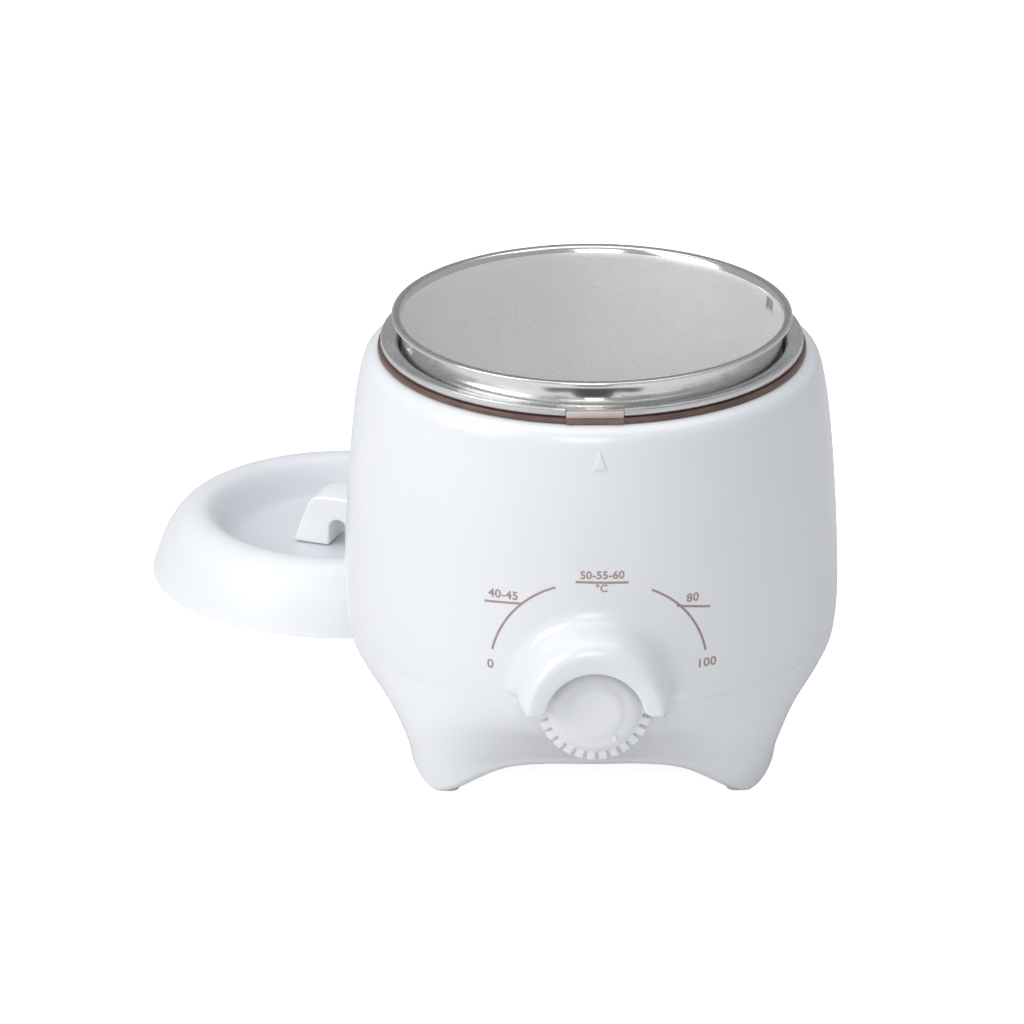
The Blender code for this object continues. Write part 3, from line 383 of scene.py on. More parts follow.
def knob_axis():
    """Matrix that turns a piece lathed on +Z so that its +Z points to the front along the knob's axis."""
    return Matrix.Translation((0.0, 0.0, KNOB_PLACE.z)) @ Matrix.Rotation(math.radians(90.0), 4, "X")


def upright(name, height):
    """Matrix that stands a piece on the middle of a solid's outline, at a height in metres."""
    low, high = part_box(name)
    return Matrix.Translation(((low.x + high.x) / 2, (low.y + high.y) / 2, height))


def fit(piece, body, slot, *nodes):
    """Hangs a finished piece on its body and hides the solids that it stands for; the slot, its finish's
    name, is not used.
    """
    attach(piece, body)
    if nodes:
        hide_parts(*nodes)
    return piece


# ---- materials

class Shader:
    """A node material: a principled shader with helpers that wire noise into its inputs."""

    def __init__(self, name, colour, roughness, metallic=0.0):
        self.material = bpy.data.materials.new(name)
        self.material.use_nodes = True
        self.nodes = self.material.node_tree.nodes
        self.links = self.material.node_tree.links
        self.principled = self.nodes["Principled BSDF"]
        self.coordinates = self.nodes.new("ShaderNodeTexCoord")
        self.height = None
        self.set("Base Color", (*colour, 1.0))
        self.set("Roughness", roughness)
        self.set("Metallic", metallic)

    def set(self, name, value):
        self.principled.inputs[name].default_value = value
        return self

    def noise(self, scale, detail=2.0, stretch=(1.0, 1.0, 1.0)):
        """Noise texture in object space; scale is in features per metre."""
        mapping = self.nodes.new("ShaderNodeMapping")
        mapping.inputs["Scale"].default_value = stretch
        texture = self.nodes.new("ShaderNodeTexNoise")
        texture.inputs["Scale"].default_value = scale
        texture.inputs["Detail"].default_value = detail
        self.links.new(self.coordinates.outputs["Object"], mapping.inputs["Vector"])
        self.links.new(mapping.outputs["Vector"], texture.inputs["Vector"])
        return texture.outputs["Fac"]

    def vary_colour(self, source, dark, light, low=0.35, high=0.65):
        """Base colour runs from dark to light with the source."""
        ramp = self.nodes.new("ShaderNodeValToRGB")
        ramp.color_ramp.elements[0].position = low
        ramp.color_ramp.elements[0].color = (*dark, 1.0)
        ramp.color_ramp.elements[1].position = high
        ramp.color_ramp.elements[1].color = (*light, 1.0)
        self.links.new(source, ramp.inputs["Fac"])
        self.links.new(ramp.outputs["Color"], self.principled.inputs["Base Color"])
        return self

    def vary_roughness(self, source, low, high):
        span = self.nodes.new("ShaderNodeMapRange")
        span.inputs["From Min"].default_value = 0.3
        span.inputs["From Max"].default_value = 0.7
        span.inputs["To Min"].default_value = low
        span.inputs["To Max"].default_value = high
        self.links.new(source, span.inputs["Value"])
        self.links.new(span.outputs["Result"], self.principled.inputs["Roughness"])
        return self

    def bump(self, source, height, strength=1.0):
        """Adds a bump of that height in millimetres on top of earlier ones."""
        node = self.nodes.new("ShaderNodeBump")
        node.inputs["Strength"].default_value = strength
        node.inputs["Distance"].default_value = height * MM
        self.links.new(source, node.inputs["Height"])
        if self.height is not None:
            self.links.new(self.height, node.inputs["Normal"])
        self.height = node.outputs["Normal"]
        self.links.new(self.height, self.principled.inputs["Normal"])
        return self


def orange_peel(shader, low, high):
    """Gloss that wanders between two roughnesses, and the faint ripple of moulded plastic."""
    shader.vary_roughness(shader.noise(90.0, 4.0), low, high)
    shader.bump(shader.noise(420.0, 2.0), 0.008, 0.3)
    shader.set("IOR", 1.5)


def moulded_white(name, colour, roughness, coat=0.2):
    """Glossy moulded plastic: faint clouding and a trace of orange peel."""
    shader = Shader(name, colour, roughness)
    darker = tuple(channel * 0.975 for channel in colour)
    shader.vary_colour(shader.noise(14.0, 3.0), darker, colour)
    orange_peel(shader, roughness * 0.85, roughness * 1.2)
    shader.set("Coat Weight", coat)
    shader.set("Coat Roughness", 0.12)
    return shader.material


def grained_metal(name, dark, light, roughness, grain=1800.0, depth=0.02, metallic=1.0):
    """Aluminium with a fine cast or blasted grain."""
    shader = Shader(name, light, roughness, metallic)
    shader.vary_colour(shader.noise(grain, 3.0), dark, light, 0.3, 0.7)
    shader.vary_roughness(shader.noise(grain * 0.6, 2.0), roughness * 0.8, roughness * 1.15)
    shader.bump(shader.noise(grain, 2.0), depth, 0.5)
    shader.bump(shader.noise(grain * 0.22, 2.0), depth * 2.0, 0.25)
    return shader.material


def polished_metal(name, dark, light, roughness):
    """Aluminium with a smooth drawn surface: no grain, only a faint change of tone and gloss."""
    shader = Shader(name, light, roughness, 1.0)
    shader.vary_colour(shader.noise(25.0, 2.0), dark, light, 0.3, 0.7)
    shader.vary_roughness(shader.noise(40.0, 2.0), roughness * 0.92, roughness * 1.08)
    return shader.material


def spun_metal(name, dark, light, roughness):
    """Metal with fine turning lines round its axis, from noise that is squeezed along Z."""
    shader = Shader(name, light, roughness, 1.0)
    lines = shader.noise(60.0, 4.0, (1.0, 1.0, 60.0))
    shader.vary_colour(lines, dark, light, 0.3, 0.7)
    shader.vary_roughness(shader.noise(150.0, 3.0), roughness * 0.8, roughness * 1.25)
    shader.bump(lines, 0.003, 0.15)
    return shader.material


def plain_solid(name, dark, light, roughness, metallic=0.0, grain=500.0, depth=0.02):
    """Small hidden and bought-in pieces: two close tones, uneven gloss and a fine surface grain."""
    shader = Shader(name, light, roughness, metallic)
    shader.vary_colour(shader.noise(grain * 0.25, 3.0), dark, light, 0.3, 0.7)
    shader.vary_roughness(shader.noise(grain * 0.5, 3.0), roughness * 0.8, roughness * 1.2)
    shader.bump(shader.noise(grain, 2.0), depth, 0.5)
    return shader.material


WHITE = moulded_white("body_white", (0.83, 0.84, 0.865), 0.21)
KNOB_WHITE = moulded_white("knob_white", (0.87, 0.878, 0.895), 0.38, 0.0)
HANDLE_WHITE = moulded_white("handle_white", (0.93, 0.935, 0.945), 0.30, 0.1)
POT_METAL = grained_metal("pot_metal", (0.80, 0.80, 0.79), (0.94, 0.94, 0.93), 0.44, 2200.0, 0.016, 0.65)
LIP_METAL = grained_metal("lip_metal", (0.30, 0.30, 0.29), (0.56, 0.56, 0.55), 0.5, 1500.0, 0.05)
FLARE_METAL = polished_metal("flare_metal", (0.80, 0.80, 0.79), (0.84, 0.84, 0.83), 0.15)
WELL_METAL = spun_metal("well_metal", (0.68, 0.68, 0.67), (0.76, 0.76, 0.75), 0.28)
COLLAR = plain_solid("collar_brown", (0.11, 0.06, 0.05), (0.165, 0.095, 0.08), 0.36)
# Painted light on the collar's key, where the flange's notch lets light in: a pale painted highlight on its
# tab and a paler painted brown on its front.
KEY_TAB_PAINTED_HIGHLIGHT = plain_solid("key_tab_painted_highlight", (0.60, 0.53, 0.50), (0.68, 0.61, 0.58), 0.4)
KEY_FRONT_PAINTED_LIGHT = plain_solid("key_front_painted_light", (0.19, 0.12, 0.10), (0.25, 0.165, 0.135), 0.36)
PRINT = plain_solid("print_ink", (0.36, 0.26, 0.235), (0.43, 0.32, 0.29), 0.5, 0.0, 2500.0, 0.004)
PAD = plain_solid("pad_rubber", (0.78, 0.78, 0.79), (0.84, 0.84, 0.85), 0.75, 0.0, 900.0, 0.05)
CORD = plain_solid("cord_vinyl", (0.66, 0.67, 0.69), (0.74, 0.75, 0.77), 0.42, 0.0, 700.0, 0.02)
NICKEL = plain_solid("pin_nickel", (0.60, 0.57, 0.51), (0.70, 0.67, 0.61), 0.25, 1.0, 800.0, 0.01)
ZINC = plain_solid("zinc_steel", (0.48, 0.48, 0.48), (0.62, 0.62, 0.60), 0.36, 1.0, 900.0, 0.02)
BAND = spun_metal("band_steel", (0.34, 0.33, 0.31), (0.46, 0.45, 0.43), 0.42)
PHENOLIC = plain_solid("phenolic_black", (0.022, 0.022, 0.022), (0.04, 0.04, 0.04), 0.48)
COPPER = plain_solid("drawn_copper", (0.48, 0.22, 0.12), (0.62, 0.32, 0.19), 0.32, 1.0)
WIRE_BROWN = plain_solid("wire_brown", (0.14, 0.05, 0.02), (0.20, 0.08, 0.04), 0.4)
WIRE_BLUE = plain_solid("wire_blue", (0.02, 0.08, 0.38), (0.04, 0.12, 0.50), 0.4)
WIRE_GREEN = plain_solid("wire_green", (0.08, 0.30, 0.04), (0.13, 0.42, 0.08), 0.4)


# ---- body shells

def housing_radius(height):
    return curve_value(HOUSING_OUTER, height)


def skin_depth(x, height):
    """How far in front of the pot's axis the housing's skin is, in millimetres."""
    return math.sqrt(max(housing_radius(height) ** 2 - x * x, 0.0))


def housing_outline():
    """Outer skin from the top edge down, the bottom edge, and the inner skin back up."""
    top = HOUSING_HIGH.z / MM
    outline = [(62.95, top - 0.5), (63.4, top), (66.2, top)]
    outer_rows = 40
    first = HOUSING_OUTER[0][0]
    last = HOUSING_OUTER[-1][0]
    for row in range(outer_rows + 1):
        ease = (row / outer_rows) ** 1.35
        height = first + (last - first) * ease
        outline.append((housing_radius(height), height))
    seam = PARTING_Z + 0.04
    outline += [(75.7, seam), (73.4, seam), (73.4, seam + 3.5), (72.4, seam + 3.8)]
    return outline + HOUSING_INNER


def corner_cut(radius, ahead):
    """How far a round corner of that radius cuts in, at a distance from the end."""
    left = max(radius - ahead, 0.0)
    return radius - math.sqrt(max(radius * radius - left * left, 0.0))


def relaxed(points, rounds):
    """Open polyline whose inner points have been averaged with their neighbours a number of times."""
    for _ in range(rounds):
        inner = []
        for before, here, after in zip(points, points[1:], points[2:]):
            inner.append(tuple(0.25 * a + 0.5 * b + 0.25 * c for a, b, c in zip(before, here, after)))
        points = [points[0], *inner, points[-1]]
    return points


def hood_section(angle, ahead):
    """Closed (distance, depth) section of the hood at an angle round the knob, ahead mm from its end."""
    root = HOOD_SIDE_R + (HOOD_TOP_R - HOOD_SIDE_R) * math.sin(angle) ** 2
    face_cut = corner_cut(HOOD_TIP_FACE, ahead)
    front = HOOD_FRONT - face_cut
    inner = HOOD_INNER_R + corner_cut(HOOD_TIP_INNER, ahead)
    lip = HOOD_FRONT - HOOD_LIP + face_cut * 0.3
    hollow = HOOD_HOLLOW_R + face_cut * 0.8
    outer = root + HOOD_FILLET_OUT - HOOD_FILLET - corner_cut(HOOD_TIP_OUTER, ahead)
    face = max(HOOD_FACE_R, inner + 2.4)

    def skin(distance):
        return skin_depth(distance * math.cos(angle), KNOB_HEIGHT + distance * math.sin(angle))

    section = [(inner, lip), (inner, front - HOOD_EDGE)]
    for step in range(1, 4):
        turn = math.radians(30.0 * step)
        rounding = HOOD_EDGE * (1 - math.cos(turn))
        section.append((inner + rounding, front - HOOD_EDGE + HOOD_EDGE * math.sin(turn)))
    section.append((face - 1.0, front))
    fall = front - skin(outer) - HOOD_FILLET
    flank = []
    steps = 18
    for step in range(steps + 1):
        turn = 0.5 * math.pi * step / steps
        distance = face + (outer - face) * math.sin(turn)
        flank.append((distance, front - fall * (1 - math.cos(turn) ** 1.06)))
    fillet_steps = 9
    for step in range(1, fillet_steps + 1):
        turn = 0.5 * math.pi * step / fillet_steps
        distance = outer + HOOD_FILLET * (1 - math.cos(turn))
        flank.append((distance, skin(distance) + HOOD_FILLET * (1 - math.sin(turn)) - 0.02))
    section += relaxed(flank, HOOD_BLEND)
    section.append((outer, skin(outer) - HOOD_ROOT))
    section.append((hollow, skin(hollow) - HOOD_ROOT))
    section.append((hollow, lip))
    return section


def hood_mesh():
    """Half ring over the knob, its two ends rounded."""
    tip = (0.0, 0.08, 0.25, 0.55, 1.0, 1.6, 2.3, 3.0)
    ends = [(HOOD_END + ahead / HOOD_MIDDLE_R, ahead) for ahead in tip]
    sweep = 72
    start = HOOD_END + HOOD_TIP_INNER / HOOD_MIDDLE_R
    stations = list(ends)
    for step in range(sweep + 1):
        stations.append((start + (math.pi - 2 * start) * step / sweep, HOOD_TIP_INNER))
    stations += [(math.pi - angle, ahead) for angle, ahead in reversed(ends)]
    rings = []
    for angle, ahead in stations:
        ring = []
        for distance, depth in hood_section(angle, ahead):
            height = KNOB_HEIGHT + distance * math.sin(angle)
            ring.append((distance * math.cos(angle) * MM, -depth * MM, height * MM))
        rings.append(ring)
    return lofted(rings)


def make_housing():
    housing = shape("housing", lathe(housing_outline()), WHITE)
    pocket = cylinder(POCKET_R, POCKET_DEPTH, PAST_WALL, 64)
    boolean(housing, shape("knob_pocket", pocket, WHITE, knob_axis()))
    boolean(housing, shape("hood", hood_mesh(), WHITE), "UNION")
    boolean(housing, shape("neck_bore", cylinder(NECK_BORE_R, 60.0, 80.0), WHITE, knob_axis()))
    boolean(housing, shape("cord_hole", cylinder(CORD_HOLE_R, 60.0, PAST_WALL), WHITE, cord_axis()))
    return fit(housing, "base", "white_plastic", "upper_housing")


def leg_amount(angle):
    """How far the wall swells at this azimuth: 1 over a leg, 0 half way between legs."""
    return abs(math.sin(2.0 * angle)) ** LEG_SHARPNESS


def leg_reach(angle):
    """How far the lower edge has dropped at this azimuth, from 0 under an arch to 1 at a foot."""
    from_axis = math.asin(min(1.0, abs(math.sin(2.0 * angle)))) / 2.0
    t = min(max((from_axis - ARCH_START) / (ARCH_END - ARCH_START), 0.0), 1.0)
    return math.sin(0.5 * math.pi * t ** ARCH_EASE) ** 2


def base_skin(angle, height):
    side = curve_value(SIDE_SKIN, height)
    leg = curve_value(LEG_SKIN, height)
    return side + (leg - side) * leg_amount(angle)


def base_outline(angle):
    """Closed outline of the base at one azimuth: tongue, outer wall, rounded foot, floor and inner wall."""
    reach = leg_reach(angle)
    drop = (TABLE + PAD_SHOW) * reach
    points = [(72.0, PARTING_Z + 3.0), (73.0, PARTING_Z + 3.0), (73.1, PARTING_Z + 2.7), (73.1, PARTING_Z),
              (75.7, PARTING_Z)]
    rows = 26
    top = PARTING_Z - 0.1
    low = drop + FOOT_ROUND
    for row in range(rows + 1):
        height = top + (low - top) * row / rows
        points.append((base_skin(angle, height), height))
    edge = points[-1][0]
    corner_steps = 6
    for step in range(1, corner_steps + 1):
        turn = 0.5 * math.pi * step / corner_steps
        points.append((edge - FOOT_ROUND * (1 - math.cos(turn)), low - FOOT_ROUND * math.sin(turn)))
    inner_edge = edge - FOOT_WIDTH
    points += [(inner_edge + 2.0, drop), (inner_edge + 0.8, drop + 0.2),
               (inner_edge - 0.2, drop + 0.9 * reach), (inner_edge - 5.2, -0.6 * reach),
               (inner_edge - 6.6, 0.0), (36.0, 0.0), (0.0, 0.0), (0.0, FLOOR), (34.0, FLOOR)]
    inner_drop = FLOOR + drop
    points += [(inner_edge - 7.2, FLOOR), (inner_edge + 1.0, inner_drop), (edge - 4.6, inner_drop)]
    inner_rows = 6
    for row in range(inner_rows, 0, -1):
        height = PARTING_Z + (inner_drop + 3.0 - PARTING_Z) * row / (inner_rows + 1)
        points.append((base_skin(angle, height) - WALL, height))
    points.append((72.0, PARTING_Z))
    return points


def make_base():
    rings = []
    for step in range(TURN):
        angle = 2.0 * math.pi * step / TURN
        rings.append([polar(radius, angle, height) for radius, height in base_outline(angle)])
    base = shape("base", lofted(rings, closed=True), WHITE, sharp=40.0)
    for index in range(4):
        middle = upright(f"base_screw_{index + 1}", 0.0)
        boolean(base, shape("boss", cylinder(BOSS_R, 1.0, 6.0), WHITE, middle), "UNION")
        bore = [(0.0, -1.0), (4.5, -1.0), (4.2, 0.3), (4.2, 3.4), (2.0, 3.4), (2.0, 7.0), (0.0, 7.0)]
        boolean(base, shape("bore", lathe(bore, SMALL_TURN), WHITE, middle))
    notch = box((-SHAFT_NOTCH, -80.0, KNOB_HEIGHT - SHAFT_NOTCH), (SHAFT_NOTCH, -66.0, 40.0))
    boolean(base, shape("notch", notch, WHITE))
    tongue_half = HOOD_SIDE_R + 2.0
    tongue_cut = box((-tongue_half, -80.0, PARTING_Z + 0.01), (tongue_half, -60.0, 40.0))
    boolean(base, shape("tongue_cut", tongue_cut, WHITE))
    for index in range(4):
        name = f"foot_pad_{index + 1}"
        low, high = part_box(name)
        pad_r = (high.x - low.x) / 2 / MM
        recess = cylinder(pad_r + 0.2, -1.0, 1.4)
        boolean(base, shape("recess", recess, WHITE, upright(name, TABLE_Z)))
    return fit(base, "base", "white_plastic", "base_shell")


def make_pads():
    for index in range(4):
        name = f"foot_pad_{index + 1}"
        low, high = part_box(name)
        edge = (high.x - low.x) / 2 / MM
        thick = (high.z - low.z) / MM
        outline = [(0.0, 0.0), (edge * 0.4, 0.0), (edge * 0.5, 0.2), (edge * 0.6, 0.2), (edge * 0.7, 0.0),
                   (edge - 0.6, 0.0), (edge - 0.2, 0.15), (edge, 0.5), (edge, thick), (0.0, thick)]
        pad = shape(f"pad_{index + 1}", lathe(outline, SMALL_TURN), PAD, upright(name, low.z))
        fit(pad, "base", "pad_rubber", name)


# ---- knob

def tooth_share(step):
    """Place of a step within its tooth, spread so that each notch's two walls are nearly radial."""
    share = step / STEPS_PER_TOOTH
    margin = 0.012
    last_inside = math.ceil(NOTCH_SHARE * STEPS_PER_TOOTH - 1) / STEPS_PER_TOOTH
    if share < NOTCH_SHARE:
        return margin + (NOTCH_SHARE - 2 * margin) * share / last_inside
    first_outside = last_inside + 1.0 / STEPS_PER_TOOTH
    last_outside = 1.0 - 1.0 / STEPS_PER_TOOTH
    return NOTCH_SHARE + (1.0 - NOTCH_SHARE) * (share - first_outside) / (last_outside - first_outside)


def wheel_ring(radius, depth, notch=0.0):
    """Ring round the knob's axis, its radius less inside the notches."""
    points = []
    for index in range(TEETH * STEPS_PER_TOOTH):
        tooth, step = divmod(index, STEPS_PER_TOOTH)
        inside = step / STEPS_PER_TOOTH < NOTCH_SHARE
        reach = radius - (notch if inside else 0.0)
        angle = 2.0 * math.pi * (tooth + tooth_share(step)) / TEETH
        points.append(polar(reach, angle, depth))
    return points


def make_knob():
    """Toothed wheel with a domed front, lathed on +Z and turned to the front."""
    cavity = WHEEL_BACK + KNOB_CAVITY_DEPTH
    rings = [wheel_ring(SHAFT_BORE_R, DOME_FRONT - 2.0), wheel_ring(SHAFT_BORE_R, cavity),
             wheel_ring(KNOB_CAVITY_R, cavity), wheel_ring(KNOB_CAVITY_R, WHEEL_BACK)]
    for radius, depth in ((WHEEL_R - 0.35, WHEEL_BACK), (WHEEL_R, WHEEL_BACK + 0.35),
                          (WHEEL_R, WHEEL_FRONT - 0.5), (WHEEL_R - 0.2, WHEEL_FRONT - 0.15)):
        rings.append(wheel_ring(radius, depth, TOOTH_DEPTH))
    rings.append(wheel_ring(WHEEL_R - 0.6, WHEEL_FRONT, TOOTH_DEPTH - 0.3))
    rings += [wheel_ring(radius, depth) for radius, depth in DOME]
    knob = shape("knob_wheel", lofted(rings), KNOB_WHITE, knob_axis(), 38.0)
    dot = bmesh.new()
    bmesh.ops.create_icosphere(dot, subdivisions=4, radius=INDEX_DOT_R * MM)
    place = Vector((INDEX_R * math.sin(INDEX_CLOCK) * MM, -(DOME_FRONT - 1.2) * MM,
                    KNOB_PLACE.z + INDEX_R * math.cos(INDEX_CLOCK) * MM))
    boolean(knob, shape("dot", dot, KNOB_WHITE, Matrix.Translation(place)), "UNION")
    return fit(knob, "knob", "knob_plastic", "knob")


# ---- pot, well and collar

def make_pot():
    """Pressed pot: its straight wall turns sharply out to a flat blasted lip, with a slot on each side."""
    rim_z = POT_HIGH.z / MM
    floor = POT_LOW.z / MM
    rim_r = POT_HIGH.x / MM
    corner = (POT_R - POT_CORNER, floor + POT_CORNER)
    outline = [(0.0, floor)]
    outline += arc(corner, POT_CORNER, -90.0, 0.0, 8)
    outline += [tuple(point) for point in spline(POT_FLARE, 4)]
    outline += arc((rim_r - 0.4, rim_z - 0.4), 0.4, -60.0, 90.0, 7)
    outline += [(POT_LIP_R, rim_z), (59.8, rim_z), (59.5, rim_z - 0.1)]
    outline += [tuple(point) for point in spline(POT_INNER_FLARE, 3)]
    outline += arc(corner, POT_CORNER - POT_WALL, 0.0, -90.0, 8)
    outline += [(30.0, floor + POT_WALL), (0.0, floor + POT_WALL)]
    pot = shape("pot", lathe(outline), POT_METAL)
    turn = Matrix.Rotation(SLOT_AZIMUTH - math.radians(90.0), 4, "Z")
    low = (-SLOT_WIDTH / 2, -70.0, SLOT_Z - SLOT_HEIGHT / 2)
    high = (SLOT_WIDTH / 2, 70.0, SLOT_Z + SLOT_HEIGHT / 2)
    slots = shape("slots", box(low, high), POT_METAL, turn)
    boolean(pot, softened(slots, 0.4, 2))
    pot.data.materials.append(LIP_METAL)
    pot.data.materials.append(FLARE_METAL)
    for face in pot.data.polygons:
        radius = math.hypot(face.center.x, face.center.y) / MM
        height = face.center.z / MM
        if height > rim_z - 0.12 and radius < POT_LIP_R + 0.1:
            face.material_index = 1
        elif radius > POT_R - 0.15 and height > WELL_FLANGE_Z - 2.0:
            face.material_index = 2
    return fit(pot, "pot", "pot_aluminium", "inner_pot")


def make_well():
    """Heating well with a thick flange, notched at the front, and a stud underneath."""
    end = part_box("heater_well")[0].z / MM
    outer = WELL_R + WELL_WALL
    under = WELL_FLANGE_Z - WELL_FLANGE_THICK
    corner = (WELL_R - WELL_CORNER, WELL_FLOOR + WELL_CORNER)
    stud = 2.5
    edge = WELL_FLANGE_R
    top = WELL_FLANGE_Z
    outline = [(0.0, end), (stud - 0.3, end), (stud, end + 0.4), (stud, WELL_FLOOR - WELL_WALL)]
    outline += arc(corner, WELL_CORNER + WELL_WALL, -90.0, 0.0, 8)
    outline += [(outer, under - 1.2), (outer + 0.2, under - 0.4), (outer + 0.7, under)]
    outline += [(edge - 0.8, under), (edge - 0.25, under + 0.15), (edge, under + 0.6)]
    outline += [(edge, top + 0.1), (edge - 0.15, top + 0.45), (edge - 0.55, top + 0.6)]
    outline += [(edge - 1.1, top + 0.45), (edge - 1.7, top + 0.08), (WELL_R + 1.9, top)]
    outline += [(WELL_R + 1.2, top - 0.15), (WELL_R + 0.5, top - 0.8), (WELL_R, top - 2.2)]
    outline.append((WELL_R, top - 30.0))
    outline += arc(corner, WELL_CORNER, 0.0, -90.0, 8)
    outline.append((0.0, WELL_FLOOR))
    well = shape("well", lathe(outline), WELL_METAL)
    notch = box((-NOTCH_WIDTH / 2, -70.0, under - 1.0), (NOTCH_WIDTH / 2, -NOTCH_INNER_R, top + 2.0))
    boolean(well, shape("notch", notch, WELL_METAL))
    return fit(well, "base", "well_aluminium", "heater_well")


def make_collar():
    """Brown ring under the flange, with a key in the flange's notch that is painted lighter where the notch
    lets light in: a paler painted brown on its front and a pale painted highlight on its tab.
    """
    inner = WELL_R + WELL_WALL + 1.2
    skirt = 62.6
    outer = COLLAR_HIGH.x / MM
    top = COLLAR_HIGH.z / MM
    low = COLLAR_LOW.z / MM
    outline = [(inner, low), (skirt, low), (skirt, COLLAR_BAND_Z), (outer - 0.3, COLLAR_BAND_Z),
               (outer, COLLAR_BAND_Z + 0.25), (outer, top - 0.35), (outer - 0.12, top - 0.1),
               (outer - 0.4, top), (inner, top)]
    collar = shape("collar", lathe(outline), COLLAR)
    half = NOTCH_WIDTH / 2 - 0.3
    key = box((-half, -outer - 0.03, COLLAR_BAND_Z + 0.1), (half, -NOTCH_INNER_R + 0.4, top + 0.08))
    boolean(collar, shape("key", key, KEY_FRONT_PAINTED_LIGHT), "UNION")
    tab = box((-half, -WELL_FLANGE_R + 0.5, top - 0.4), (half, -NOTCH_INNER_R - 0.15, WELL_FLANGE_Z - 0.4))
    boolean(collar, softened(shape("key_tab", tab, KEY_TAB_PAINTED_HIGHLIGHT), 0.15, 2), "UNION")
    painted_light_index = len(collar.data.materials)
    collar.data.materials.append(KEY_FRONT_PAINTED_LIGHT)
    collar.data.materials.append(KEY_TAB_PAINTED_HIGHLIGHT)
    # Faces of the tab above the collar get the painted highlight; faces on the key's front get the paler
    # painted light.
    for face in collar.data.polygons:
        middle = face.center / MM
        if abs(middle.x) < half + 0.05 and middle.y < -NOTCH_INNER_R:
            if middle.z > top + 0.1:
                face.material_index = painted_light_index + 1
            elif middle.y < -outer:
                face.material_index = painted_light_index
    return fit(collar, "base", "collar_brown", "insulating_collar")


# ---- dial

INK_LIFT = 0.045
INK_ROOT = -0.1


def on_skin(x, height, lift):
    """Point on the housing's skin, raised by lift, all in millimetres."""
    return Vector((x * MM, -(skin_depth(x, height) + lift) * MM, height * MM))


def printed(name, outlines):
    """Thin ink on the skin. Each outline is a list of (left point, right point) pairs along a line."""
    bm = bmesh.new()
    for pairs in outlines:
        rings = []
        for left, right in pairs:
            rings.append([on_skin(*left, INK_LIFT), on_skin(*right, INK_LIFT),
                          on_skin(*right, INK_ROOT), on_skin(*left, INK_ROOT)])
        add_skin(bm, rings)
    return fit(shape(name, bm, PRINT), "base", "white_plastic")


def stroke(points, width):
    """Pairs of edge points along a plane line of the given width."""
    pairs = []
    for index, point in enumerate(points):
        before = Vector(points[max(index - 1, 0)])
        after = Vector(points[min(index + 1, len(points) - 1)])
        along = (after - before).normalized()
        side = Vector((-along.y, along.x)) * width / 2
        here = Vector(point)
        pairs.append((tuple(here + side), tuple(here - side)))
    return pairs


def dial_arc(start, end, radius_start, radius_end):
    """Line from one clock angle to another round the knob, its radius changing evenly."""
    steps = 28
    points = []
    for step in range(steps + 1):
        t = step / steps
        angle = math.radians(start + (end - start) * t)
        radius = radius_start + (radius_end - radius_start) * math.sin(0.5 * math.pi * t)
        points.append((1.0 + radius * math.sin(angle), KNOB_HEIGHT + radius * math.cos(angle)))
    return points


def straight(start, end, steps=10):
    return [tuple(Vector(start).lerp(Vector(end), step / steps)) for step in range(steps + 1)]


def make_label(text, x, height, size, name):
    """Dial number, printed on the skin. x and height are the middle of the text."""
    data = bpy.data.curves.new(name, "FONT")
    data.body = text
    data.size = size * MM
    data.align_x = "CENTER"
    data.align_y = "CENTER"
    data.extrude = 0.05 * MM
    data.space_character = 1.06
    data.offset = 0.09 * MM
    data.resolution_u = 6
    writer = linked(name, data)
    mesh = final_mesh(writer)
    bpy.data.objects.remove(writer, do_unlink=True)
    bm = bmesh.new()
    bm.from_mesh(mesh)
    for vert in bm.verts:
        lift = INK_LIFT if vert.co.z > 0 else INK_ROOT
        vert.co = on_skin(x + vert.co.x / MM, height + vert.co.y / MM, lift)
    return fit(shape(name, bm, PRINT), "base", "white_plastic")


def make_dial():
    """Two arcs, three short lines and numbers round the hood."""
    width = 0.7
    lines = [dial_arc(-64.0, -19.0, 35.8, 40.0), dial_arc(66.0, 24.0, 36.0, 40.0),
             straight((-33.5, 60.5), (-22.3, 61.2)), straight((-5.9, 69.3), (10.2, 69.0)),
             straight((25.0, 60.05), (35.2, 58.1))]
    printed("dial_lines", [stroke(line, width) for line in lines])
    make_label("0", -31.7, 40.2, 4.0, "dial_number_0")
    make_label("40-45", -27.8, 63.3, 3.7, "dial_number_40")
    make_label("50-55-60", 2.2, 71.4, 3.5, "dial_number_60")
    make_label("\u00b0C", 2.0, 67.2, 3.3, "dial_unit")
    make_label("80", 29.8, 61.9, 3.7, "dial_number_80")
    make_label("100", 34.2, 40.0, 3.9, "dial_number_100")


def make_arrow():
    """Small raised triangle near the rim, which shows where the lid's mark goes."""
    corners = [(1.4, 109.9), (3.4, 104.6), (-0.6, 104.6)]
    middle = (1.4, 106.4)
    loops = []
    for lift, shrink in ((0.42, 0.86), (0.34, 1.0), (-0.3, 1.0)):
        loop = []
        for corner, after in zip(corners, corners[1:] + corners[:1]):
            for step in range(6):
                t = step / 6
                x = corner[0] + (after[0] - corner[0]) * t
                height = corner[1] + (after[1] - corner[1]) * t
                x = middle[0] + (x - middle[0]) * shrink
                height = middle[1] + (height - middle[1]) * shrink
                loop.append(on_skin(x, height, lift))
        loops.append(loop)
    return fit(shape("raised_arrow", lofted(loops), WHITE), "base", "white_plastic")


# ---- lid

LID_TONE = (0.83, 0.84, 0.865)
RECESS_TONE = (0.72, 0.73, 0.77)
RECESS_R = (38.5, 48.5)
LID_FLOOR = 8.8
LID_UNDER = 6.8


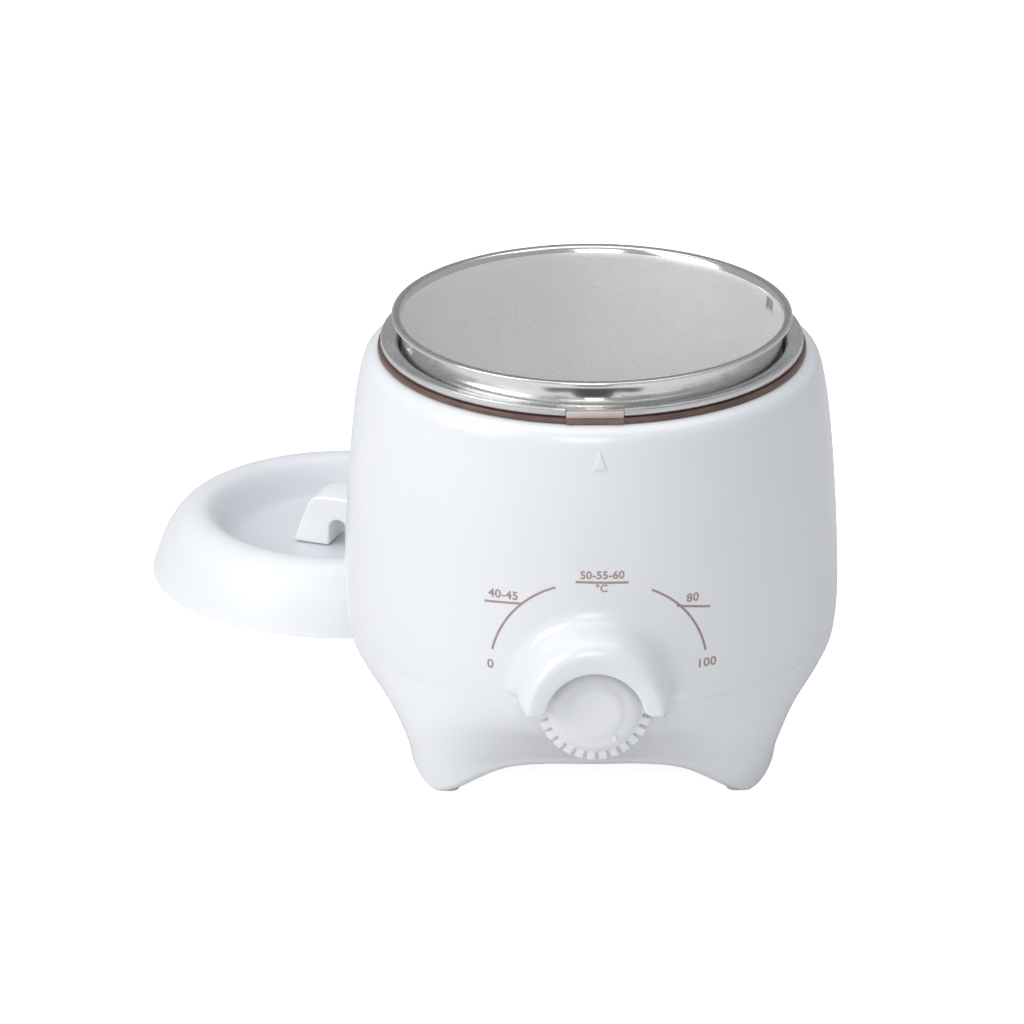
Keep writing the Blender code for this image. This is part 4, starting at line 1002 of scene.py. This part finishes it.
def lid_white():
    """The lid's plastic, a shade deeper inside the recess, where less light gets in."""
    shader = Shader("lid_white", LID_TONE, 0.34)
    flat = shader.nodes.new("ShaderNodeVectorMath")
    flat.operation = "MULTIPLY"
    flat.inputs[1].default_value = (1.0, 1.0, 0.0)
    reach = shader.nodes.new("ShaderNodeVectorMath")
    reach.operation = "DISTANCE"
    reach.inputs[1].default_value = (LID_MIDDLE.x, LID_MIDDLE.y, 0.0)
    shader.links.new(shader.coordinates.outputs["Object"], flat.inputs[0])
    shader.links.new(flat.outputs["Vector"], reach.inputs[0])
    shader.vary_colour(reach.outputs["Value"], RECESS_TONE, LID_TONE, RECESS_R[0] * MM, RECESS_R[1] * MM)
    orange_peel(shader, 0.28, 0.38)
    return shader.material


def make_lid():
    """Shallow dome with a wide recess; heights are above the table."""
    outer = [(63.2, 0.0), (61.7, 4.5), (60.1, 9.0), (58.0, 13.5), (54.9, 17.8), (51.4, 20.3), (47.3, 21.2),
             (43.9, 20.2), (41.2, 17.0), (39.0, 13.0), (36.6, 9.9), (33.0, LID_FLOOR)]
    inner = [(31.5, LID_UNDER), (36.6, 7.4), (40.8, 11.4), (43.0, 15.6), (44.9, 18.3), (47.3, 19.4),
             (50.8, 18.6), (53.6, 16.6), (56.4, 12.8), (58.6, 8.6), (60.4, 4.2), (62.1, 0.3)]
    top = [tuple(point) for point in spline(outer, 5)]
    under = [tuple(point) for point in spline(inner, 4)]
    rim = [(62.3, 0.08), (62.6, 0.0), (62.95, 0.03), (63.14, 0.25)]
    outline = top[1:] + [(0.0, LID_FLOOR), (0.0, LID_UNDER)] + under + rim
    lid = shape("lid", lathe(outline), lid_white(), Matrix.Translation(LID_MIDDLE))
    for index in (1, 2):
        middle = upright(f"lid_screw_{index}", LID_MIDDLE.z)
        boolean(lid, shape("hole", cylinder(1.9, 5.0, 11.0, 24), HANDLE_WHITE, middle))
    return fit(lid, "lid", "lid_plastic", "lid_shell")


def make_handle():
    """Arched bridge: drawn in the plane of its arch, extruded over its depth and rounded."""
    half = 15.5
    top = 8.0
    rise = 17.0
    half_depth = 7.0
    outline = spline([(-half, 0.3), (-half + 1.3, 4.6), (-top - 3.4, rise - 5.2)], 4)
    shoulder = [(-top - 2.6, rise - 3.2), (-top - 0.9, rise - 1.2), (-top + 2.0, rise - 0.2), (0.0, rise)]
    outline += spline(shoulder, 4)
    side = [tuple(point) for point in outline]
    outline = side + [(-x, z) for x, z in reversed(side[:-1])]
    arch = [(3.2, 0.3), (3.1, 6.4)] + arc((0.0, 6.4), 3.0, 12.0, 84.0, 6)
    outline += arch + [(-x, z) for x, z in reversed(arch)]
    outline = [(x, z + LID_FLOOR) for x, z in outline]
    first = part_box("lid_screw_1")
    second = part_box("lid_screw_2")
    start = (first[0] + first[1]) / 2
    end = (second[0] + second[1]) / 2
    turn = math.atan2(end.y - start.y, end.x - start.x)
    place = Matrix.Translation(LID_MIDDLE) @ Matrix.Rotation(turn, 4, "Z")
    place = place @ Matrix.Rotation(math.radians(90.0), 4, "X")
    handle = shape("handle", extruded(outline, -half_depth, half_depth), HANDLE_WHITE, place)
    softened(handle, 1.7, 5, 40.0)
    return fit(handle, "lid", "lid_plastic", "lid_handle")


# ---- cord and plug

CORD_EXIT = math.radians(70.0)
CORD_R = 2.7


def cord_axis():
    """Turns +Z to the horizontal direction in which the cord leaves the body."""
    low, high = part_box("strain_relief")
    height = (low.z + high.z) / 2
    turned = Matrix.Translation((0.0, 0.0, height)) @ Matrix.Rotation(CORD_EXIT, 4, "Z")
    return turned @ Matrix.Rotation(math.radians(90.0), 4, "Y")


def make_strain_relief():
    inner = CORD_R + 0.25
    flange = 71.9
    outside = 77.0
    outline = [(inner, flange - 2.0), (6.4, flange - 2.0), (6.4, flange), (4.0, flange), (4.0, outside)]
    outline += [(5.3, outside), (5.6, outside + 0.3), (5.6, outside + 1.3), (5.3, outside + 1.6)]
    rib = outside + 2.2
    for index in range(3):
        size = 5.2 - index * 0.5
        low = rib + index * 5.0
        outline += [(size - 0.9, low - 0.3), (size - 0.9, low + 1.6), (size - 0.25, low + 2.0),
                    (size, low + 2.3), (size, low + 3.3), (size - 0.25, low + 3.6)]
    outline += [(inner + 0.6, rib + 14.4), (inner + 0.3, rib + 16.0), (inner, rib + 16.0)]
    piece = shape("cord_boot", lathe(outline, SMALL_TURN), CORD, cord_axis())
    return fit(piece, "base", "cord_white", "strain_relief")


def coil_path():
    """Flat oval coil, wound from the outside in."""
    middle = PLUG_X / MM
    inner_r = 11.0
    pitch = 6.0
    turns = 4
    ends = (118.0, 190.0)
    rest = TABLE + CORD_R + 0.1
    bends = 2 * turns
    per_bend = 20
    path = []
    for bend in range(bends):
        for step in range(per_bend + 1):
            progress = (bend + step / per_bend) / bends
            radius = inner_r + pitch * turns * (1.0 - progress)
            angle = math.pi * step / per_bend
            side = 1 if bend % 2 == 0 else -1
            end = ends[1] if side > 0 else ends[0]
            x = middle + side * radius * math.cos(angle)
            path.append(Vector((x, end + side * radius * math.sin(angle), rest)))
    return path


def cord_point(distance, height):
    return (distance * math.cos(CORD_EXIT), distance * math.sin(CORD_EXIT), height)


def make_cord():
    """Mains cord: out of the boot, down to the table, round the coil and over it to the plug."""
    middle = PLUG_X / MM
    outer = middle + 35.0
    low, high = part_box("strain_relief")
    exit_z = (low.z + high.z) / 2 / MM
    rest = TABLE + CORD_R + 0.1
    over = TABLE + 3.0 * CORD_R + 0.8
    plug_y = PLUG_LOW.y / MM
    plug_z = TABLE + 6.8
    drop = [cord_point(96.0, exit_z), cord_point(103.0, exit_z - 0.6), (46.0, 107.0, 30.0),
            (57.0, 119.0, 10.0), (outer - 1.5, 138.0, -6.0), (outer, 156.0, rest)]
    tail = [(middle + 11.0, 130.0, rest), (middle + 9.0, 148.0, rest), (middle + 4.0, 174.0, over - 4.0),
            (middle, 192.0, over), (middle, 228.0, over), (middle, plug_y - 6.0, plug_z),
            (middle, plug_y - 0.6, plug_z)]
    path = [Vector(cord_point(62.0, exit_z))] + spline(drop, 10) + coil_path() + spline(tail, 10)
    clean = [path[0]]
    for point in path[1:]:
        if (point - clean[-1]).length > 0.4:
            clean.append(point)
    cord = shape("cord", tube([point * MM for point in clean], CORD_R * MM, 20), CORD)
    return fit(cord, "base", "cord_white", "power_cord")


def make_plug():
    """Flat two-pin plug with finger grooves."""
    half = 17.0
    neck = 5.0
    outline = [(-neck, 0.0), (neck, 0.0), (neck + 1.0, 10.0), (half - 3.0, 19.0), (half, 24.0), (half, 34.0)]
    outline += [(-half, 34.0), (-half, 24.0), (-half + 3.0, 19.0), (-neck - 1.0, 10.0)]
    place = Matrix.Translation((PLUG_X, PLUG_LOW.y, TABLE_Z))
    plug = shape("plug", extruded(rounded(outline, 3.0, 5), 0.1, 13.6), CORD, place)
    softened(plug, 1.9, 5, 50.0)
    for side in (-1, 1):
        for groove in range(4):
            y = 23.0 + groove * 2.6
            tool = cylinder(0.55, 0.0, 14.0, 16)
            spot = place @ Matrix.Translation((side * (half + 0.2) * MM, y * MM, 0.0))
            boolean(plug, shape("groove", tool, CORD, spot))
    fit(plug, "base", "cord_white", "plug_body")
    for index in (1, 2):
        low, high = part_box(f"plug_pin_{index}")
        axis = Matrix.Translation(((low.x + high.x) / 2, low.y, (low.z + high.z) / 2))
        axis = axis @ Matrix.Rotation(math.radians(-90.0), 4, "X")
        outline = [(0.0, 0.0), (2.0, 0.0), (2.0, 17.0)] + arc((0.4, 17.4), 1.6, 0.0, 90.0, 6) + [(0.0, 19.0)]
        pin = shape(f"pin_{index}", lathe(outline, SMALL_TURN), NICKEL, axis)
        fit(pin, "base", "pin_nickel", f"plug_pin_{index}")


# ---- carried-over solids

FINISHES = (
    (ZINC, ("band_clamp_screw", "base_screw_1", "base_screw_2", "base_screw_3", "base_screw_4",
            "bracket_screw_1", "bracket_screw_2", "fuse_clip", "lid_screw_1", "lid_screw_2",
            "thermostat_nut", "thermostat_shaft", "well_bracket", "well_nut")),
    (PHENOLIC, ("thermal_fuse", "thermostat_body")),
    (BAND, ("heater_band",)),
    (COPPER, ("capillary_tube",)),
    (WIRE_GREEN, ("wire_earth",)),
    (WIRE_BROWN, ("wire_live",)),
    (WIRE_BLUE, ("wire_neutral",)),
)


def finish_solids():
    """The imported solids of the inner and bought-in pieces are shown as they are, in their own finishes."""
    for material, names in FINISHES:
        for name in names:
            mesh = frame["nodes"][name].data
            mesh.materials.clear()
            mesh.materials.append(material)


# ---- studio

VIEW_DISTANCE = 3.0
VIEW_PITCH = math.radians(21.665)
VIEW_AZIMUTH = math.radians(-0.4)
VIEW_WIDTH = 0.31803
LOOK_AT = Vector((-24.64 * MM, 0.0, 62.2 * MM))
FLOOR_GLOW = 0.85
LIT_POINT = Vector((0.0, 0.0, 0.06))
SKY = ((0.93, 0.96, 1.0, 1.0), 0.42)

# Softboxes: name, place and size in metres, power in watts
SOFTBOXES = (("key", (-1.7, -0.8, 1.2), (1.4, 1.6), 22.0),
             ("front", (-0.2, -2.2, 1.3), (1.0, 1.0), 11.5),
             ("top", (0.0, 0.1, 1.7), (1.8, 1.4), 11.0))

# Cards on the floor before the object: name and two corners in millimetres
FLAGS = (("flag_wide", (-150.0, -330.0), (150.0, -270.0)),
         ("flag_narrow", (-70.0, -480.0), (70.0, -330.0)))


def aim(item, place, target):
    item.location = place
    item.rotation_euler = (target - place).to_track_quat("-Z", "Y").to_euler()


def make_camera():
    data = bpy.data.cameras.new("camera")
    camera = linked("camera", data)
    level = math.cos(VIEW_PITCH)
    back = Vector((math.sin(VIEW_AZIMUTH) * level, -math.cos(VIEW_AZIMUTH) * level, math.sin(VIEW_PITCH)))
    aim(camera, LOOK_AT + back * VIEW_DISTANCE, LOOK_AT)
    data.sensor_width = 36.0
    data.lens = data.sensor_width * VIEW_DISTANCE / VIEW_WIDTH
    data.clip_start = 0.01
    data.clip_end = 50.0
    bpy.context.scene.camera = camera


def softbox(name, place, size, power):
    data = bpy.data.lights.new(name, "AREA")
    data.shape = "RECTANGLE"
    data.size = size[0]
    data.size_y = size[1]
    data.energy = power
    aim(linked(name, data), Vector(place), LIT_POINT)


def make_floor():
    floor = Shader("studio_floor", (0.78, 0.78, 0.79), 0.6)
    floor.vary_colour(floor.noise(3.0, 2.0), (0.77, 0.77, 0.78), (0.79, 0.79, 0.80))
    floor.set("Emission Color", (1.0, 1.0, 1.0, 1.0))
    path = floor.nodes.new("ShaderNodeLightPath")
    glow = floor.nodes.new("ShaderNodeMath")
    glow.operation = "MULTIPLY"
    glow.inputs[1].default_value = FLOOR_GLOW
    floor.links.new(path.outputs["Is Camera Ray"], glow.inputs[0])
    floor.links.new(glow.outputs[0], floor.principled.inputs["Emission Strength"])
    bm = bmesh.new()
    bmesh.ops.create_grid(bm, x_segments=8, y_segments=8, size=4.0)
    bmesh.ops.translate(bm, vec=(0.0, 0.0, TABLE_Z), verts=bm.verts)
    plane = shape("floor", bm, floor.material)


def make_flag():
    """Stepped dark card on the floor. Only reflections see it, not the camera."""
    cloth = plain_solid("flag_cloth", (0.015, 0.015, 0.016), (0.03, 0.03, 0.032), 0.9)
    for name, low, high in FLAGS:
        card = shape(name, box((*low, TABLE + 1.0), (*high, TABLE + 2.0)), cloth)
        card.visible_camera = False
        card.visible_diffuse = False
        card.visible_shadow = False


def make_studio():
    scene = bpy.context.scene
    scene.view_settings.view_transform = "Standard"
    world = bpy.data.worlds.new("studio")
    world.use_nodes = True
    background = world.node_tree.nodes["Background"]
    background.inputs["Color"].default_value = SKY[0]
    background.inputs["Strength"].default_value = SKY[1]
    scene.world = world
    for light in SOFTBOXES:
        softbox(*light)
    make_floor()
    make_flag()
    make_camera()


def main():
    make_housing()
    make_base()
    make_pads()
    make_knob()
    make_pot()
    make_well()
    make_collar()
    make_dial()
    make_arrow()
    make_lid()
    make_handle()
    make_strain_relief()
    make_cord()
    make_plug()
    finish_solids()
    make_studio()


main()
